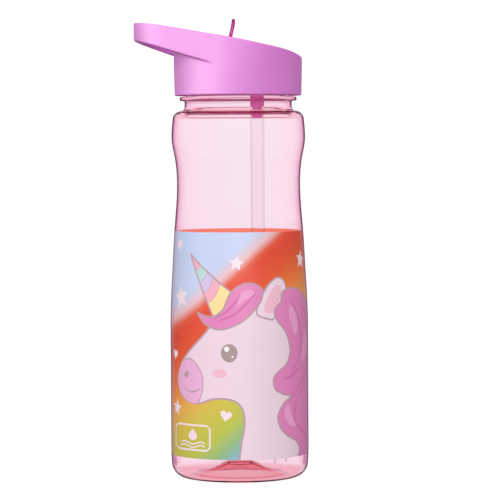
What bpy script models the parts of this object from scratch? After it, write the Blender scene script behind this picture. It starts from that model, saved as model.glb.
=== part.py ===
"""Kids' straw bottle: a tinted clear bottle with a printed film, and a screw lid with a carry
loop, a flip-up spout, its seal, a vent valve, a gasket and a flexible straw.

Lengths are in millimetres here and become metres through MM. +Z is up, the bottle stands on
z = 0, the carry loop points along -X and the spout turns about an axis along Y. The bottle's own
axis stands at x = AXIS_X, so that the origin is the bottom centre of the whole object's box.
"""

import math

import bmesh
import bpy
from mathutils import Matrix, Vector

MM = 0.001

# ---- driving dimensions, mm ------------------------------------------------------------------
LOOP_REACH = 57.1           # bottle axis to the end of the carry loop
BODY_R = 37.85              # widest outside radius, over the film
FILM_T, FILM_GAP = 0.22, 0.28       # film thickness, and its clearance in the shallow panel
PANEL = FILM_T + FILM_GAP           # depth of the panel that the film lies flush in
AXIS_X = (LOOP_REACH - BODY_R) / 2

HEEL_R, CORNER_R = 37.5, 8.0        # radius just above the heel, and the heel's rounding
FOOT_IN_R = 23.2                    # inside edge of the flat ring that the bottle stands on
PUNT_TOP, PUNT_TOP_R = 6.4, 6.4     # raised middle of the base
WALL, BASE_T = 1.5, 2.0
NECK_R, NECK_IN_R = 29.4, 27.2
COLLAR_R, COLLAR_Z0, COLLAR_Z1 = 32.05, 206.6, 208.6
FINISH_R, RIM_Z = 28.7, 224.0       # threaded part of the neck
FILM_Z0, FILM_Z1 = 13.2, 135.5

THREAD_PITCH = 4.0
THREAD_Z0, THREAD_TURNS = 213.0, 1.5
THREAD_CREST_R = 30.1
LID_THREAD_CREST_R = 29.3

LID_Z0 = 209.3                      # bottom edge of the lid
LID_R0, LID_R1 = 34.75, 35.15       # outer radius at the bottom and from LID_FLARE_Z up
LID_FLARE_Z = 226.0
SHELL_IN_R = 33.15
SHELL_TOP_T = 2.0
LOOP_TIP_R, LOOP_TIP_X = 22.0, -35.1    # round end of the carry loop
LOOP_RIM = 5.4                          # width of the loop's bar
LOOP_UNDER_Z, LOOP_UNDER_SLOPE = 220.9, 0.324

LINER_OUT_R, LINER_IN_R = 32.8, 31.2
FLANGE_Z0, FLANGE_Z1 = 226.4, 228.0
PLUG_R1, PLUG_R0 = 26.4, 24.8
PLUG_Z0, PLUG_Z1 = 219.0, 220.6
VENT_R = 1.9                        # hole on the bottle axis for the vent valve's stem
STRAW_X = 10.5                      # straw, spigot, seal and spout pivot stand on this line
SPIGOT_R, SPIGOT_Z0 = 3.8, 202.0    # boss under the plug, which the straw butts against
NIPPLE_R, NIPPLE_Z0, SPIGOT_BORE = 2.75, 198.0, 2.0

PIVOT_Z = 231.0
BARREL_R, BARREL_HALF = 4.8, 5.9
TRUNNION_R, TRUNNION_HALF = 1.7, 7.1
SPOUT_TILT = math.radians(11.8)     # folded spout lies along the sloping top
SPOUT_LEN, SPOUT_BORE = 27.0, 2.6
WELL_HALF, WELL_X0, WELL_DEPTH, WELL_T = 6.4, -20.5, 9.7, 1.5

STRAW_OUT_R, STRAW_IN_R = 3.85, 3.05
STRAW_TOP, STRAW_END = 201.7, 7.5
STRAW_BEND_Z, STRAW_BEND = 150.0, 12.1      # where it starts to curve, and how far it goes

SEGS = 48

# ---- smooth curves through a few key sizes ---------------------------------------------------
# height -> outer radius of the bottle wall, from the heel to the shoulder
WALL_KEYS = [(8.0, 37.5), (13.2, 37.8), (18.0, 37.85), (50.0, 37.85), (86.0, 37.85),
             (97.5, 37.5), (106.5, 37.1), (115.0, 36.55), (124.0, 36.1), (132.8, 35.6),
             (141.6, 34.9), (150.4, 34.2), (160.5, 33.8), (168.0, 34.0), (172.4, 34.46),
             (176.8, 35.15), (181.2, 36.15), (185.6, 36.75), (190.0, 36.6), (196.3, 36.05)]
# distance from the bottle axis along +X -> height of the lid's top
TOP_KEYS = [(-62.0, 249.9), (-57.0, 249.2), (-47.0, 247.75), (-34.0, 245.4), (-20.0, 242.7),
            (0.0, 238.85), (12.0, 236.4), (20.0, 234.8), (27.0, 233.0), (32.0, 231.3),
            (35.0, 230.0), (42.0, 226.5)]


def smooth(keys, t):
    """Height or radius at t on a monotone cubic through the keys."""
    n = len(keys)
    xs, ys = [k[0] for k in keys], [k[1] for k in keys]
    if t <= xs[0]:
        return ys[0]
    if t >= xs[-1]:
        return ys[-1]
    d = [(ys[i + 1] - ys[i]) / (xs[i + 1] - xs[i]) for i in range(n - 1)]
    m = [d[0]] + [0.0 if d[i - 1] * d[i] <= 0 else 2 * d[i - 1] * d[i] / (d[i - 1] + d[i])
                  for i in range(1, n - 1)] + [d[-1]]
    i = max(j for j in range(n - 1) if xs[j] <= t)
    h = xs[i + 1] - xs[i]
    s = (t - xs[i]) / h
    return ((1 + 2 * s) * (1 - s) ** 2 * ys[i] + s * (1 - s) ** 2 * h * m[i]
            + s * s * (3 - 2 * s) * ys[i + 1] + s * s * (s - 1) * h * m[i + 1])


def wall_r(z):
    return smooth(WALL_KEYS, z)


def top_z(x):
    return smooth(TOP_KEYS, x)


def under_z(x):
    return LOOP_UNDER_Z - LOOP_UNDER_SLOPE * x


def arc(cx, cz, r, a0, a1, n):
    """n + 1 points on an arc, angles in degrees from +r towards +z."""
    return [(cx + r * math.cos(math.radians(a0 + (a1 - a0) * i / n)),
             cz + r * math.sin(math.radians(a0 + (a1 - a0) * i / n))) for i in range(n + 1)]


# ---- scene helpers ---------------------------------------------------------------------------
for old in list(bpy.data.objects):
    bpy.data.objects.remove(old)


def empty(name, at, parent=None):
    e = bpy.data.objects.new(name, None)
    bpy.context.scene.collection.objects.link(e)
    e.parent = parent
    e.location = at
    return e


def material(name, colour, rough, alpha=1.0, transmission=0.0):
    m = bpy.data.materials.new(name)
    m.use_nodes = True
    b = m.node_tree.nodes["Principled BSDF"]
    b.inputs["Base Color"].default_value = (*colour, 1)
    b.inputs["Roughness"].default_value = rough
    b.inputs["Metallic"].default_value = 0.0
    b.inputs["Alpha"].default_value = alpha
    b.inputs["Transmission Weight"].default_value = transmission
    m.diffuse_color = (*colour, alpha)
    return m


def add(name, bm, mat=None, parent=None, helper=False, origin=(0, 0, 0)):
    """Links a bmesh given in mm, about origin in mm, under parent."""
    bmesh.ops.recalc_face_normals(bm, faces=bm.faces)
    if bm.calc_volume(signed=True) < 0:
        bmesh.ops.reverse_faces(bm, faces=bm.faces)
    bm.transform(Matrix.Translation(-Vector(origin)))
    bm.transform(Matrix.Scale(MM, 4))
    me = bpy.data.meshes.new(name)
    bm.to_mesh(me)
    bm.free()
    ob = bpy.data.objects.new(name, me)
    bpy.context.scene.collection.objects.link(ob)
    if mat:
        me.materials.append(mat)
    ob.parent = parent
    ob.location = Vector(origin) * MM
    if helper:
        ob.hide_render = True
        ob.display_type = "WIRE"
    else:
        me.shade_smooth()
        me.set_sharp_from_angle(angle=math.radians(35))
    return ob


def boolean(ob, tool, operation):
    mod = ob.modifiers.new(tool.name, "BOOLEAN")
    mod.object = tool
    mod.operation = operation
    mod.solver = "EXACT"


def turned(points, segs=SEGS, cx=0.0, cy=0.0):
    """A closed (r, z) outline spun about a vertical line; points at r = 0 meet there."""
    bm = bmesh.new()
    vs = [bm.verts.new((r, 0, z)) for r, z in points]
    loop = len([p for p in points if p[0] < 1e-9]) < 2
    edges = [bm.edges.new((a, b)) for a, b in zip(vs, vs[1:])]
    if loop:
        edges.append(bm.edges.new((vs[-1], vs[0])))
    bmesh.ops.spin(bm, geom=vs + edges, cent=(0, 0, 0), axis=(0, 0, 1),
                   angle=2 * math.pi, steps=segs, use_duplicate=False)
    bmesh.ops.remove_doubles(bm, verts=bm.verts, dist=1e-4)
    bm.transform(Matrix.Translation((cx, cy, 0)))
    return bm


def prism(outline, lo, hi, axis="Z"):
    """A flat outline pushed along Z, or an (x, z) outline pushed along Y."""
    bm = bmesh.new()
    if axis == "Z":
        vs, move = [bm.verts.new((x, y, lo)) for x, y in outline], (0, 0, hi - lo)
    else:
        vs, move = [bm.verts.new((x, lo, z)) for x, z in outline], (0, hi - lo, 0)
    face = bm.faces.new(vs)
    top = bmesh.ops.extrude_face_region(bm, geom=[face])["geom"]
    bmesh.ops.translate(bm, verts=[g for g in top if isinstance(g, bmesh.types.BMVert)], vec=move)
    return bm


def rod(p0, p1, r, segs=24):
    """A cylinder between two points."""
    p0, p1 = Vector(p0), Vector(p1)
    bm = bmesh.new()
    bmesh.ops.create_cone(bm, cap_ends=True, segments=segs, radius1=r, radius2=r,
                          depth=(p1 - p0).length)
    bm.transform(Matrix.Translation((p0 + p1) / 2)
                 @ (p1 - p0).to_track_quat("Z", "Y").to_matrix().to_4x4())
    return bm


def swept(centres, frames, section, closed_ends=True):
    """A section of (a, b) offsets carried along centres; frames give its two directions."""
    bm = bmesh.new()
    rings = []
    for c, (ua, ub), sec in zip(centres, frames, section):
        rings.append([bm.verts.new(Vector(c) + Vector(ua) * a + Vector(ub) * b) for a, b in sec])
    n = len(rings[0])
    for r0, r1 in zip(rings, rings[1:]):
        for i in range(n):
            bm.faces.new((r0[i], r0[(i + 1) % n], r1[(i + 1) % n], r1[i]))
    if closed_ends:
        bm.faces.new(rings[0][::-1])
        bm.faces.new(rings[-1])
    return bm


def thread(root_r, crest_r, half_root, half_crest, z0, pitch, a0, a1, bite, step=15.0):
    """A helical ridge between angles a0 and a1, buried by bite in its wall, fading at both ends."""
    n = int(round((a1 - a0) / step))
    out = 1 if crest_r > root_r else -1
    centres, frames, sections = [], [], []
    for i in range(n + 1):
        deg = a0 + (a1 - a0) * i / n
        a = math.radians(deg)
        fade = min(1.0, 0.25 + 0.75 * min(i, n - i) / 2)
        radial, up = (math.cos(a), math.sin(a), 0), (0, 0, 1)
        centres.append((root_r * radial[0], root_r * radial[1], z0 + pitch * deg / 360))
        frames.append((radial, up))
        h = (crest_r - root_r) * fade
        low, root = -out * bite, half_root * (0.6 + 0.4 * fade)
        sections.append([(low, -root), (-out * 0.2, -root), (h, -half_crest), (h, half_crest),
                         (-out * 0.2, root), (low, root)])
    return swept(centres, frames, sections)


def join_union(name, base_bm, parts, mat, parent, origin=(0, 0, 0)):
    ob = add(name, base_bm, mat, parent, origin=origin)
    for i, (bm, op) in enumerate(parts):
        tool = add(f"{name}_tool_{i}", bm, parent=parent, helper=True)
        boolean(ob, tool, op)
    return ob


# ---- materials -------------------------------------------------------------------------------
TINT = material("tinted_clear_plastic", (0.93, 0.62, 0.74), 0.06, 0.35, 0.9)
FILM = material("printed_film", (0.91, 0.45, 0.30), 0.35)
LILAC = material("lilac_plastic", (0.72, 0.38, 0.72), 0.32)
MAGENTA = material("magenta_clear_plastic", (0.55, 0.05, 0.42), 0.08, 0.6, 0.7)
SILICONE = material("clear_silicone", (0.86, 0.84, 0.85), 0.4, 0.7)
STRAW = material("frosted_straw_plastic", (0.93, 0.88, 0.89), 0.3, 0.5, 0.5)

# ---- frames ----------------------------------------------------------------------------------
bottle_frame = empty("bottle_frame", (AXIS_X * MM, 0, 0))
gasket_frame = empty("gasket_frame", (0, 0, 0), bottle_frame)
valve_frame = empty("valve_frame", (0, 0, 0), gasket_frame)
lid_frame = empty("lid_frame", (0, 0, 0), valve_frame)
PIVOT = (STRAW_X, 0.0, PIVOT_Z)

# ---- bottle ----------------------------------------------------------------------------------
FILM_LEVELS = [FILM_Z0, 18.0, 52.0, 86.0, 92.0, 98.0, 106.0, 115.0, 124.0, 130.0, FILM_Z1]
heel_c = HEEL_R - CORNER_R
outer = [(0.0, PUNT_TOP), (PUNT_TOP_R, PUNT_TOP), (8.2, PUNT_TOP - 0.6), (21.2, 0.9),
         (FOOT_IN_R, 0.0)]
outer += arc(heel_c, CORNER_R, CORNER_R, -90, 0, 6)
outer += [(wall_r(FILM_Z0 - 0.3), FILM_Z0 - 0.3), (wall_r(FILM_Z0) - PANEL, FILM_Z0 - 0.29)]
outer += [(wall_r(z) - PANEL, z) for z in FILM_LEVELS[1:-1]]
outer += [(wall_r(FILM_Z1) - PANEL, FILM_Z1 + 0.29), (wall_r(FILM_Z1 + 0.3), FILM_Z1 + 0.3)]
outer += [(wall_r(z), z) for z in (141.5, 150.0, 159.0, 164.0, 168.0, 172.5, 176.8, 181.2,
                                   185.6, 190.0)]
outer += arc(31.3, 196.3, 4.7, 0, 84, 4)
outer += [(30.1, 202.0), (NECK_R, 203.2), (NECK_R, COLLAR_Z0 - 0.6), (NECK_R + 0.5, COLLAR_Z0),
          (COLLAR_R, COLLAR_Z0), (COLLAR_R, COLLAR_Z1), (FINISH_R, COLLAR_Z1),
          (FINISH_R, RIM_Z - 0.5), (FINISH_R - 0.5, RIM_Z)]
inner = [(NECK_IN_R + 0.4, RIM_Z), (NECK_IN_R, RIM_Z - 0.5), (NECK_IN_R, 202.6), (28.2, 200.6)]
inner += arc(31.3, 195.9, 3.3, 84, 0, 3)
inner += [(wall_r(z) - WALL, z) for z in (190.0, 185.6, 181.2, 176.8, 172.0, 168.0, 163.0, 159.0,
                                          150.0, 141.5)]
inner += [(wall_r(z) - WALL - PANEL, z) for z in (132.0, 124.0, 115.0, 106.0, 98.0, 86.0, 20.0)]
inner += arc(heel_c, CORNER_R + 0.2, CORNER_R - WALL, 0, -90, 5)
inner += [(24.5, BASE_T), (21.4, BASE_T + 0.7), (8.6, PUNT_TOP + BASE_T - 0.6),
          (6.6, PUNT_TOP + BASE_T), (0.0, PUNT_TOP + BASE_T)]
bottle = join_union(
    "bottle_body", turned(outer + inner),
    [(thread(FINISH_R, THREAD_CREST_R, 1.1, 0.45, THREAD_Z0, THREAD_PITCH, 0,
             360 * THREAD_TURNS, 0.6), "UNION")],
    TINT, bottle_frame)

# ---- printed film ----------------------------------------------------------------------------
film = ([(wall_r(z), z) for z in FILM_LEVELS]
        + [(wall_r(z) - FILM_T, z) for z in reversed(FILM_LEVELS)])
add("printed_film", turned(film), FILM, bottle_frame)

# ---- lid gasket ------------------------------------------------------------------------------
add("lid_gasket", turned([(27.1, 224.3), (30.2, 224.3), (30.6, 224.7), (30.6, 225.7),
                          (30.2, 226.1), (27.1, 226.1), (26.7, 225.7), (26.7, 224.7)]),
    SILICONE, gasket_frame)

# ---- liner: threaded skirt, flange, plug, spigot and seal socket in one moulding ---------------
liner_outline = [(VENT_R, PLUG_Z0), (PLUG_R1, PLUG_Z0), (PLUG_R1, FLANGE_Z0), (LINER_IN_R, FLANGE_Z0),
                 (LINER_IN_R, 209.8), (LINER_OUT_R, 209.8), (LINER_OUT_R, FLANGE_Z1),
                 (PLUG_R0, FLANGE_Z1), (PLUG_R0, PLUG_Z1), (VENT_R, PLUG_Z1)]
liner = join_union(
    "lid_liner", turned(liner_outline),
    [(thread(LINER_IN_R, LID_THREAD_CREST_R, 1.0, 0.4, THREAD_Z0 - THREAD_PITCH / 2,
             THREAD_PITCH, 60, 495, 0.6), "UNION"),
     (turned([(0.0, NIPPLE_Z0), (NIPPLE_R - 0.5, NIPPLE_Z0), (NIPPLE_R, NIPPLE_Z0 + 1.5),
              (NIPPLE_R, SPIGOT_Z0), (SPIGOT_R, SPIGOT_Z0), (SPIGOT_R, PLUG_Z1 - 0.5),
              (0.0, PLUG_Z1 - 0.5)], 24, STRAW_X), "UNION"),
     (turned([(5.6, PLUG_Z1 - 0.6), (6.8, PLUG_Z1 - 0.6), (6.8, 223.4), (5.6, 223.4)], 24,
             STRAW_X), "UNION"),
     (rod((STRAW_X, 0, 187), (STRAW_X, 0, 223), SPIGOT_BORE, 18), "DIFFERENCE"),
     (rod((0, 3.3, 217.3), (0, 3.3, 222.3), 0.7, 10), "DIFFERENCE"),
     (rod((0, -3.3, 217.3), (0, -3.3, 222.3), 0.7, 10), "DIFFERENCE")],
    LILAC, lid_frame)

# ---- vent valve: stem through the plug floor, thin umbrella below it ---------------------------
add("vent_valve", turned([(0.0, 217.0), (2.0, 217.1), (4.9, 218.0), (4.9, 218.5), (1.5, 218.6),
                          (1.5, 221.0), (2.4, 221.1), (2.4, 221.8), (1.2, 222.6), (0.0, 222.6)],
                         24), SILICONE, valve_frame)

# ---- spout seal: silicone sleeve with a saddle for the spout's barrel --------------------------
seal = join_union(
    "spout_seal", turned([(2.7, 220.9), (5.2, 220.9), (5.2, 228.2), (2.7, 228.2)], 24, STRAW_X),
    [(rod((STRAW_X, -9, PIVOT_Z), (STRAW_X, 9, PIVOT_Z), BARREL_R + 0.3, 32), "DIFFERENCE")],
    SILICONE, lid_frame)


# ---- lid shell: round cap and carry loop under one sloping top, hollow below ------------------
def loop_outline(grow=0.0, n_tip=20):
    """Plan of the carry loop: straight bars that leave the cap at a tangent, and a round end."""
    big, tip = LID_R1 + grow, LOOP_TIP_R + grow
    a = math.asin((big - tip) / -LOOP_TIP_X)
    tip_arc = [(LOOP_TIP_X + tip * math.cos(t), tip * math.sin(t)) for t in
               [math.pi / 2 + a + (math.pi - 2 * a) * i / n_tip for i in range(n_tip + 1)]]
    start, end = (-big * math.sin(a), big * math.cos(a)), (-big * math.sin(a), -big * math.cos(a))
    return [(0.0, big * 0.55), start] + tip_arc + [end, (0.0, -big * 0.55)]


def well_outline(grow, top):
    """Side view of the spout's well: a floor along the sloping top and a round pocket."""
    r = BARREL_R + 0.6 + grow
    floor = [(x, top_z(x) - WELL_DEPTH - grow) for x in (WELL_X0 - grow, -10.0, 0.0)]
    a0 = math.degrees(math.asin((top_z(4.0) - WELL_DEPTH - grow - PIVOT_Z) / r))
    pocket = arc(STRAW_X, PIVOT_Z, r, -180 - a0, 0, 8)
    roof_x = [STRAW_X + r, 8.0, 0.0, -10.0, WELL_X0 - grow]
    roof = ([(x, top_z(x) - 0.9) for x in roof_x] if top is None
            else [(STRAW_X + r, top), (WELL_X0 - grow, top)])
    return floor + pocket + roof


xs = [42.0 - i * 104.0 / 26 for i in range(27)]
above_top = [(42.0, 262.0)] + [(x, top_z(x)) for x in xs] + [(-62.0, 262.0)]
below_top = ([(x, top_z(x) - SHELL_TOP_T) for x in xs] + [(-62.0, 200.0), (42.0, 200.0)])
shell = join_union(
    "lid_shell",
    turned([(0.0, LID_Z0), (LID_R0, LID_Z0), (LID_R1, LID_FLARE_Z), (LID_R1, 258.0), (0.0, 258.0)]),
    [(prism(loop_outline(-0.02), 214.0, 257.0), "UNION")],
    LILAC, lid_frame)
# the underside of the loop slopes, and stops at the cap's own wall
under = add("loop_under_cut", prism([(-62.0, under_z(-62.0)), (0.0, under_z(0.0)),
                                     (0.0, 205.0), (-62.0, 205.0)], -42, 42, "Y"),
            parent=lid_frame, helper=True)
keep = add("cap_keep", turned([(0.0, 204.0), (LID_R0 - 0.01, 204.0), (LID_R0 - 0.01, LID_Z0),
                               (LID_R1 - 0.005, LID_FLARE_Z), (LID_R1 - 0.005, 259.0),
                               (0.0, 259.0)]),
           parent=lid_frame, helper=True)
boolean(under, keep, "DIFFERENCE")
boolean(shell, under, "DIFFERENCE")
for name, bm, op in [
    ("top_cut", prism(above_top, -45, 45, "Y"), "DIFFERENCE"),
]:
    boolean(shell, add(name, bm, parent=lid_frame, helper=True), op)
hollow = add("hollow_cut", turned([(0.0, 204.0), (SHELL_IN_R, 204.0), (SHELL_IN_R, 256.0),
                                   (0.0, 256.0)]), parent=lid_frame, helper=True)
boolean(hollow, add("hollow_roof", prism(below_top, -44, 44, "Y"), parent=lid_frame, helper=True),
        "INTERSECT")
boolean(hollow, add("well_block", prism(well_outline(WELL_T, None), -WELL_HALF - WELL_T,
                                        WELL_HALF + WELL_T, "Y"), parent=lid_frame, helper=True),
        "DIFFERENCE")
boolean(shell, hollow, "DIFFERENCE")
boolean(shell, add("well_cut", prism(well_outline(0.0, 262.0), -WELL_HALF, WELL_HALF, "Y"),
                   parent=lid_frame, helper=True), "DIFFERENCE")
boolean(shell, add("seal_hole", rod((STRAW_X, 0, 221), (STRAW_X, 0, 229), 5.6),
                   parent=lid_frame, helper=True), "DIFFERENCE")
boolean(shell, add("pivot_sockets", rod((STRAW_X, -7.45, PIVOT_Z), (STRAW_X, 7.45, PIVOT_Z),
                                        TRUNNION_R + 0.3, 20), parent=lid_frame, helper=True),
        "DIFFERENCE")
# finger hole of the loop, which keeps clear of the cap's wall
hole = add("finger_hole", prism(
    [(LOOP_TIP_X + (LOOP_TIP_R - LOOP_RIM) * math.cos(t), (LOOP_TIP_R - LOOP_RIM) * math.sin(t))
     for t in [2 * math.pi * i / 36 for i in range(36)]], 205, 262), parent=lid_frame, helper=True)
boolean(hole, add("cap_wall_keep", turned([(0.0, 200.0), (LID_R1 + 0.6, 200.0),
                                           (LID_R1 + 0.6, 264.0), (0.0, 264.0)]),
                  parent=lid_frame, helper=True), "DIFFERENCE")
boolean(shell, hole, "DIFFERENCE")

# ---- spout -----------------------------------------------------------------------------------
along = Vector((-math.cos(SPOUT_TILT), 0, math.sin(SPOUT_TILT)))
rise = Vector((math.sin(SPOUT_TILT), 0, math.cos(SPOUT_TILT)))


def oval(a, b, n=20, power=2.6):
    pts = []
    for i in range(n):
        t = 2 * math.pi * i / n
        c, s = math.cos(t), math.sin(t)
        pts.append((a * math.copysign(abs(c) ** (2 / power), c),
                    b * math.copysign(abs(s) ** (2 / power), s)))
    return pts


stations = [(0.0, 4.5, 3.5), (8.0, 4.5, 3.5), (18.0, 4.3, 3.4), (23.0, 4.5, 3.6), (25.6, 4.6, 3.7),
            (SPOUT_LEN, 4.0, 3.1)]
tube = swept([Vector(PIVOT) + along * s for s, _, _ in stations],
             [((0, 1, 0), rise)] * len(stations), [oval(a, b) for _, a, b in stations])
# thumb lever: a thin curved blade that stands up out of the lid
LEVER = [(-5.3, 234.5), (-5.0, 238.0), (-4.3, 241.5), (-3.5, 245.0), (-2.7, 248.5), (-2.4, 251.4)]
LEVER_HALF = [4.2, 4.2, 4.1, 3.9, 3.3, 2.0]
LEVER_THICK = [1.1, 1.1, 1.0, 0.95, 1.0, 0.85]      # half thickness
lever_frames, lever_sections = [], []
for i, (x, z) in enumerate(LEVER):
    p, q = LEVER[max(0, i - 1)], LEVER[min(len(LEVER) - 1, i + 1)]
    t = Vector((q[0] - p[0], 0, q[1] - p[1])).normalized()
    lever_frames.append((Vector((0, 1, 0)), Vector((t.z, 0, -t.x))))
    w, h = LEVER_HALF[i], LEVER_THICK[i]
    lever_sections.append([(-w, 0), (-w + 0.4, -h), (w - 0.4, -h), (w, 0), (w - 0.4, h),
                           (-w + 0.4, h)])
lever = swept([(x, 0, z) for x, z in LEVER], lever_frames, lever_sections)
spout = join_union(
    "flip_spout",
    rod((STRAW_X, -BARREL_HALF, PIVOT_Z), (STRAW_X, BARREL_HALF, PIVOT_Z), BARREL_R),
    [(tube, "UNION"),
     (rod((STRAW_X, -TRUNNION_HALF, PIVOT_Z), (STRAW_X, TRUNNION_HALF, PIVOT_Z), TRUNNION_R, 16),
      "UNION"),
     (lever, "UNION"),
     (rod(Vector(PIVOT) - along * 8, Vector(PIVOT) + along * 32, SPOUT_BORE, 16), "DIFFERENCE")],
    MAGENTA, lid_frame, origin=PIVOT)


# ---- straw: upright at the spigot, bending out to the heel of the bottle ----------------------
def straw_x(z):
    t = max(0.0, (STRAW_BEND_Z - z) / (STRAW_BEND_Z - STRAW_END))
    return STRAW_X + STRAW_BEND * t * t


heights = [STRAW_TOP, 199.0, 152.0, 135.0, 118.0, 101.0, 85.0, 69.0, 53.0, 38.0, 25.0, 15.0,
           STRAW_END]


def tube_along(r, extend=0.0):
    centres, frames, sections = [], [], []
    for i, z in enumerate(heights):
        slope = (straw_x(z + 0.5) - straw_x(z - 0.5)) / 1.0
        d = Vector((slope, 0, 1)).normalized()
        c = Vector((straw_x(z), 0, z))
        if i == 0:
            c += d * extend
        if i == len(heights) - 1:
            c -= d * extend
        centres.append(c)
        frames.append((Vector((0, 1, 0)).cross(d), Vector((0, 1, 0))))
        sections.append([(r * math.cos(2 * math.pi * k / 14), r * math.sin(2 * math.pi * k / 14))
                         for k in range(14)])
    return swept(centres, frames, sections)


join_union("straw", tube_along(STRAW_OUT_R), [(tube_along(STRAW_IN_R, 2.0), "DIFFERENCE")],
           STRAW, lid_frame)
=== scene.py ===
import math

import bmesh
import bpy
from mathutils import Matrix, Quaternion, Vector
from mathutils.geometry import delaunay_2d_cdt


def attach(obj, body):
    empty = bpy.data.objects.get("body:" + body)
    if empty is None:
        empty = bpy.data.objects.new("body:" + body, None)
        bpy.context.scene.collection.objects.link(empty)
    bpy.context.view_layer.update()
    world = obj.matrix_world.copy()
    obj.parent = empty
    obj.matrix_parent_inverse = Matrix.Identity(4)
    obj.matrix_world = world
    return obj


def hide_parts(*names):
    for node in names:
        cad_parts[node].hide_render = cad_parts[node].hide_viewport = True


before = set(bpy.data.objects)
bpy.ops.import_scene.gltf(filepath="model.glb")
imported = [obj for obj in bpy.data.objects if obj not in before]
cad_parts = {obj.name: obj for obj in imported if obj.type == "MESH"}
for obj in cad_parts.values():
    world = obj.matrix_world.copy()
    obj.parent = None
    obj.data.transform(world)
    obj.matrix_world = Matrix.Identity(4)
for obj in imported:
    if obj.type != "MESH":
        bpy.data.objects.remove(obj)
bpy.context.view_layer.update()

# Lengths are in millimetres about the bottle's own axis, as in the CAD, and become metres in the
# row frame through PLACE.
MM = 0.001
LOOP_REACH, BODY_R = 57.1, 37.85
AXIS_X = (LOOP_REACH - BODY_R) / 2
PLACE = Matrix.Scale(MM, 4) @ Matrix.Translation((AXIS_X, 0, 0))

HEEL_R, CORNER_R, FOOT_IN_R = 37.5, 8.0, 23.2
PUNT_TOP, WALL, BASE_T = 6.4, 1.5, 2.0
SEAT = 0.24
NECK_R, NECK_IN_R = 29.4, 27.2
COLLAR_R, COLLAR_Z0, COLLAR_Z1 = 32.05, 206.6, 208.6
FINISH_R, RIM_Z = 28.7, 224.0
FILM_Z0, FILM_Z1, FILM_T = 13.2, 135.5, 0.22
THREAD_PITCH, THREAD_Z0, THREAD_TURNS = 4.0, 213.0, 1.5
THREAD_CREST_R, LID_THREAD_CREST_R = 30.1, 29.3
LID_Z0, LID_R0, LID_R1, LID_FLARE_Z = 209.3, 34.75, 35.15, 226.0
SHELL_IN_R, SHELL_TOP_T = 33.15, 2.0
LOOP_TIP_R, LOOP_TIP_X, LOOP_RIM = 22.0, -35.1, 5.4
LOOP_UNDER_Z, LOOP_UNDER_SLOPE = 220.9, 0.324
LINER_OUT_R, LINER_IN_R = 32.8, 31.2
FLANGE_Z0, FLANGE_Z1 = 226.4, 228.0
PLUG_R1, PLUG_R0, PLUG_Z0, PLUG_Z1 = 26.4, 24.8, 219.0, 220.6
VENT_R, STRAW_X = 1.9, 10.5
SPIGOT_R, SPIGOT_Z0 = 3.8, 202.0
NIPPLE_R, NIPPLE_Z0, SPIGOT_BORE = 2.75, 198.0, 2.0
PIVOT_Z, BARREL_R, BARREL_HALF = 231.0, 4.8, 5.9
TRUNNION_R, TRUNNION_HALF = 1.7, 7.1
SPOUT_TILT, SPOUT_LEN, SPOUT_BORE = math.radians(11.8), 27.0, 2.6
WELL_HALF, WELL_X0, WELL_DEPTH, WELL_T = 6.4, -20.5, 9.7, 1.5
STRAW_OUT_R, STRAW_IN_R = 3.85, 3.05
STRAW_TOP, STRAW_END, STRAW_BEND_Z, STRAW_BEND = 201.7, 7.5, 150.0, 12.1
SEGS = 192

WALL_KEYS = [(8.0, 37.5), (13.2, 37.8), (18.0, 37.85), (50.0, 37.85), (86.0, 37.85),
             (97.5, 37.5), (106.5, 37.1), (115.0, 36.55), (124.0, 36.1), (132.8, 35.6),
             (141.6, 34.9), (150.4, 34.2), (160.5, 33.8), (168.0, 34.0), (172.4, 34.46),
             (176.8, 35.15), (181.2, 36.15), (185.6, 36.75), (190.0, 36.6), (196.3, 36.05)]
TOP_KEYS = [(-62.0, 249.9), (-57.0, 249.2), (-47.0, 247.75), (-34.0, 245.4), (-20.0, 242.7),
            (0.0, 238.85), (12.0, 236.4), (20.0, 234.8), (27.0, 233.0), (32.0, 231.3),
            (35.0, 230.0), (42.0, 226.5)]


def smooth(keys, t):
    n = len(keys)
    xs, ys = [k[0] for k in keys], [k[1] for k in keys]
    if t <= xs[0]:
        return ys[0]
    if t >= xs[-1]:
        return ys[-1]
    d = [(ys[i + 1] - ys[i]) / (xs[i + 1] - xs[i]) for i in range(n - 1)]
    m = [d[0]] + [0.0 if d[i - 1] * d[i] <= 0 else 2 * d[i - 1] * d[i] / (d[i - 1] + d[i])
                  for i in range(1, n - 1)] + [d[-1]]
    i = max(j for j in range(n - 1) if xs[j] <= t)
    h = xs[i + 1] - xs[i]
    s = (t - xs[i]) / h
    return ((1 + 2 * s) * (1 - s) ** 2 * ys[i] + s * (1 - s) ** 2 * h * m[i]
            + s * s * (3 - 2 * s) * ys[i + 1] + s * s * (s - 1) * h * m[i + 1])


def even_wall(z):
    """The wall's radius, with the curve between its key sizes evened out."""
    w = max(0.0, min(5.0, z - FILM_Z0, 196.3 - z))
    return sum(smooth(WALL_KEYS, z + w * k / 8) * (9 - abs(k)) for k in range(-8, 9)) / 81


WALL_TABLE = [even_wall(k / 10) for k in range(2201)]


def wall_r(z):
    k = min(2199, max(0, int(z * 10)))
    t = z * 10 - k
    return WALL_TABLE[k] * (1 - t) + WALL_TABLE[k + 1] * t


def top_z(x):
    return smooth(TOP_KEYS, x)


def under_z(x):
    return LOOP_UNDER_Z - LOOP_UNDER_SLOPE * x


def span(a, b, n):
    return [a + (b - a) * i / n for i in range(n + 1)]


def arc(cx, cz, r, a0, a1, n):
    return [(cx + r * math.cos(math.radians(a)), cz + r * math.sin(math.radians(a)))
            for a in span(a0, a1, n)]


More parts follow.
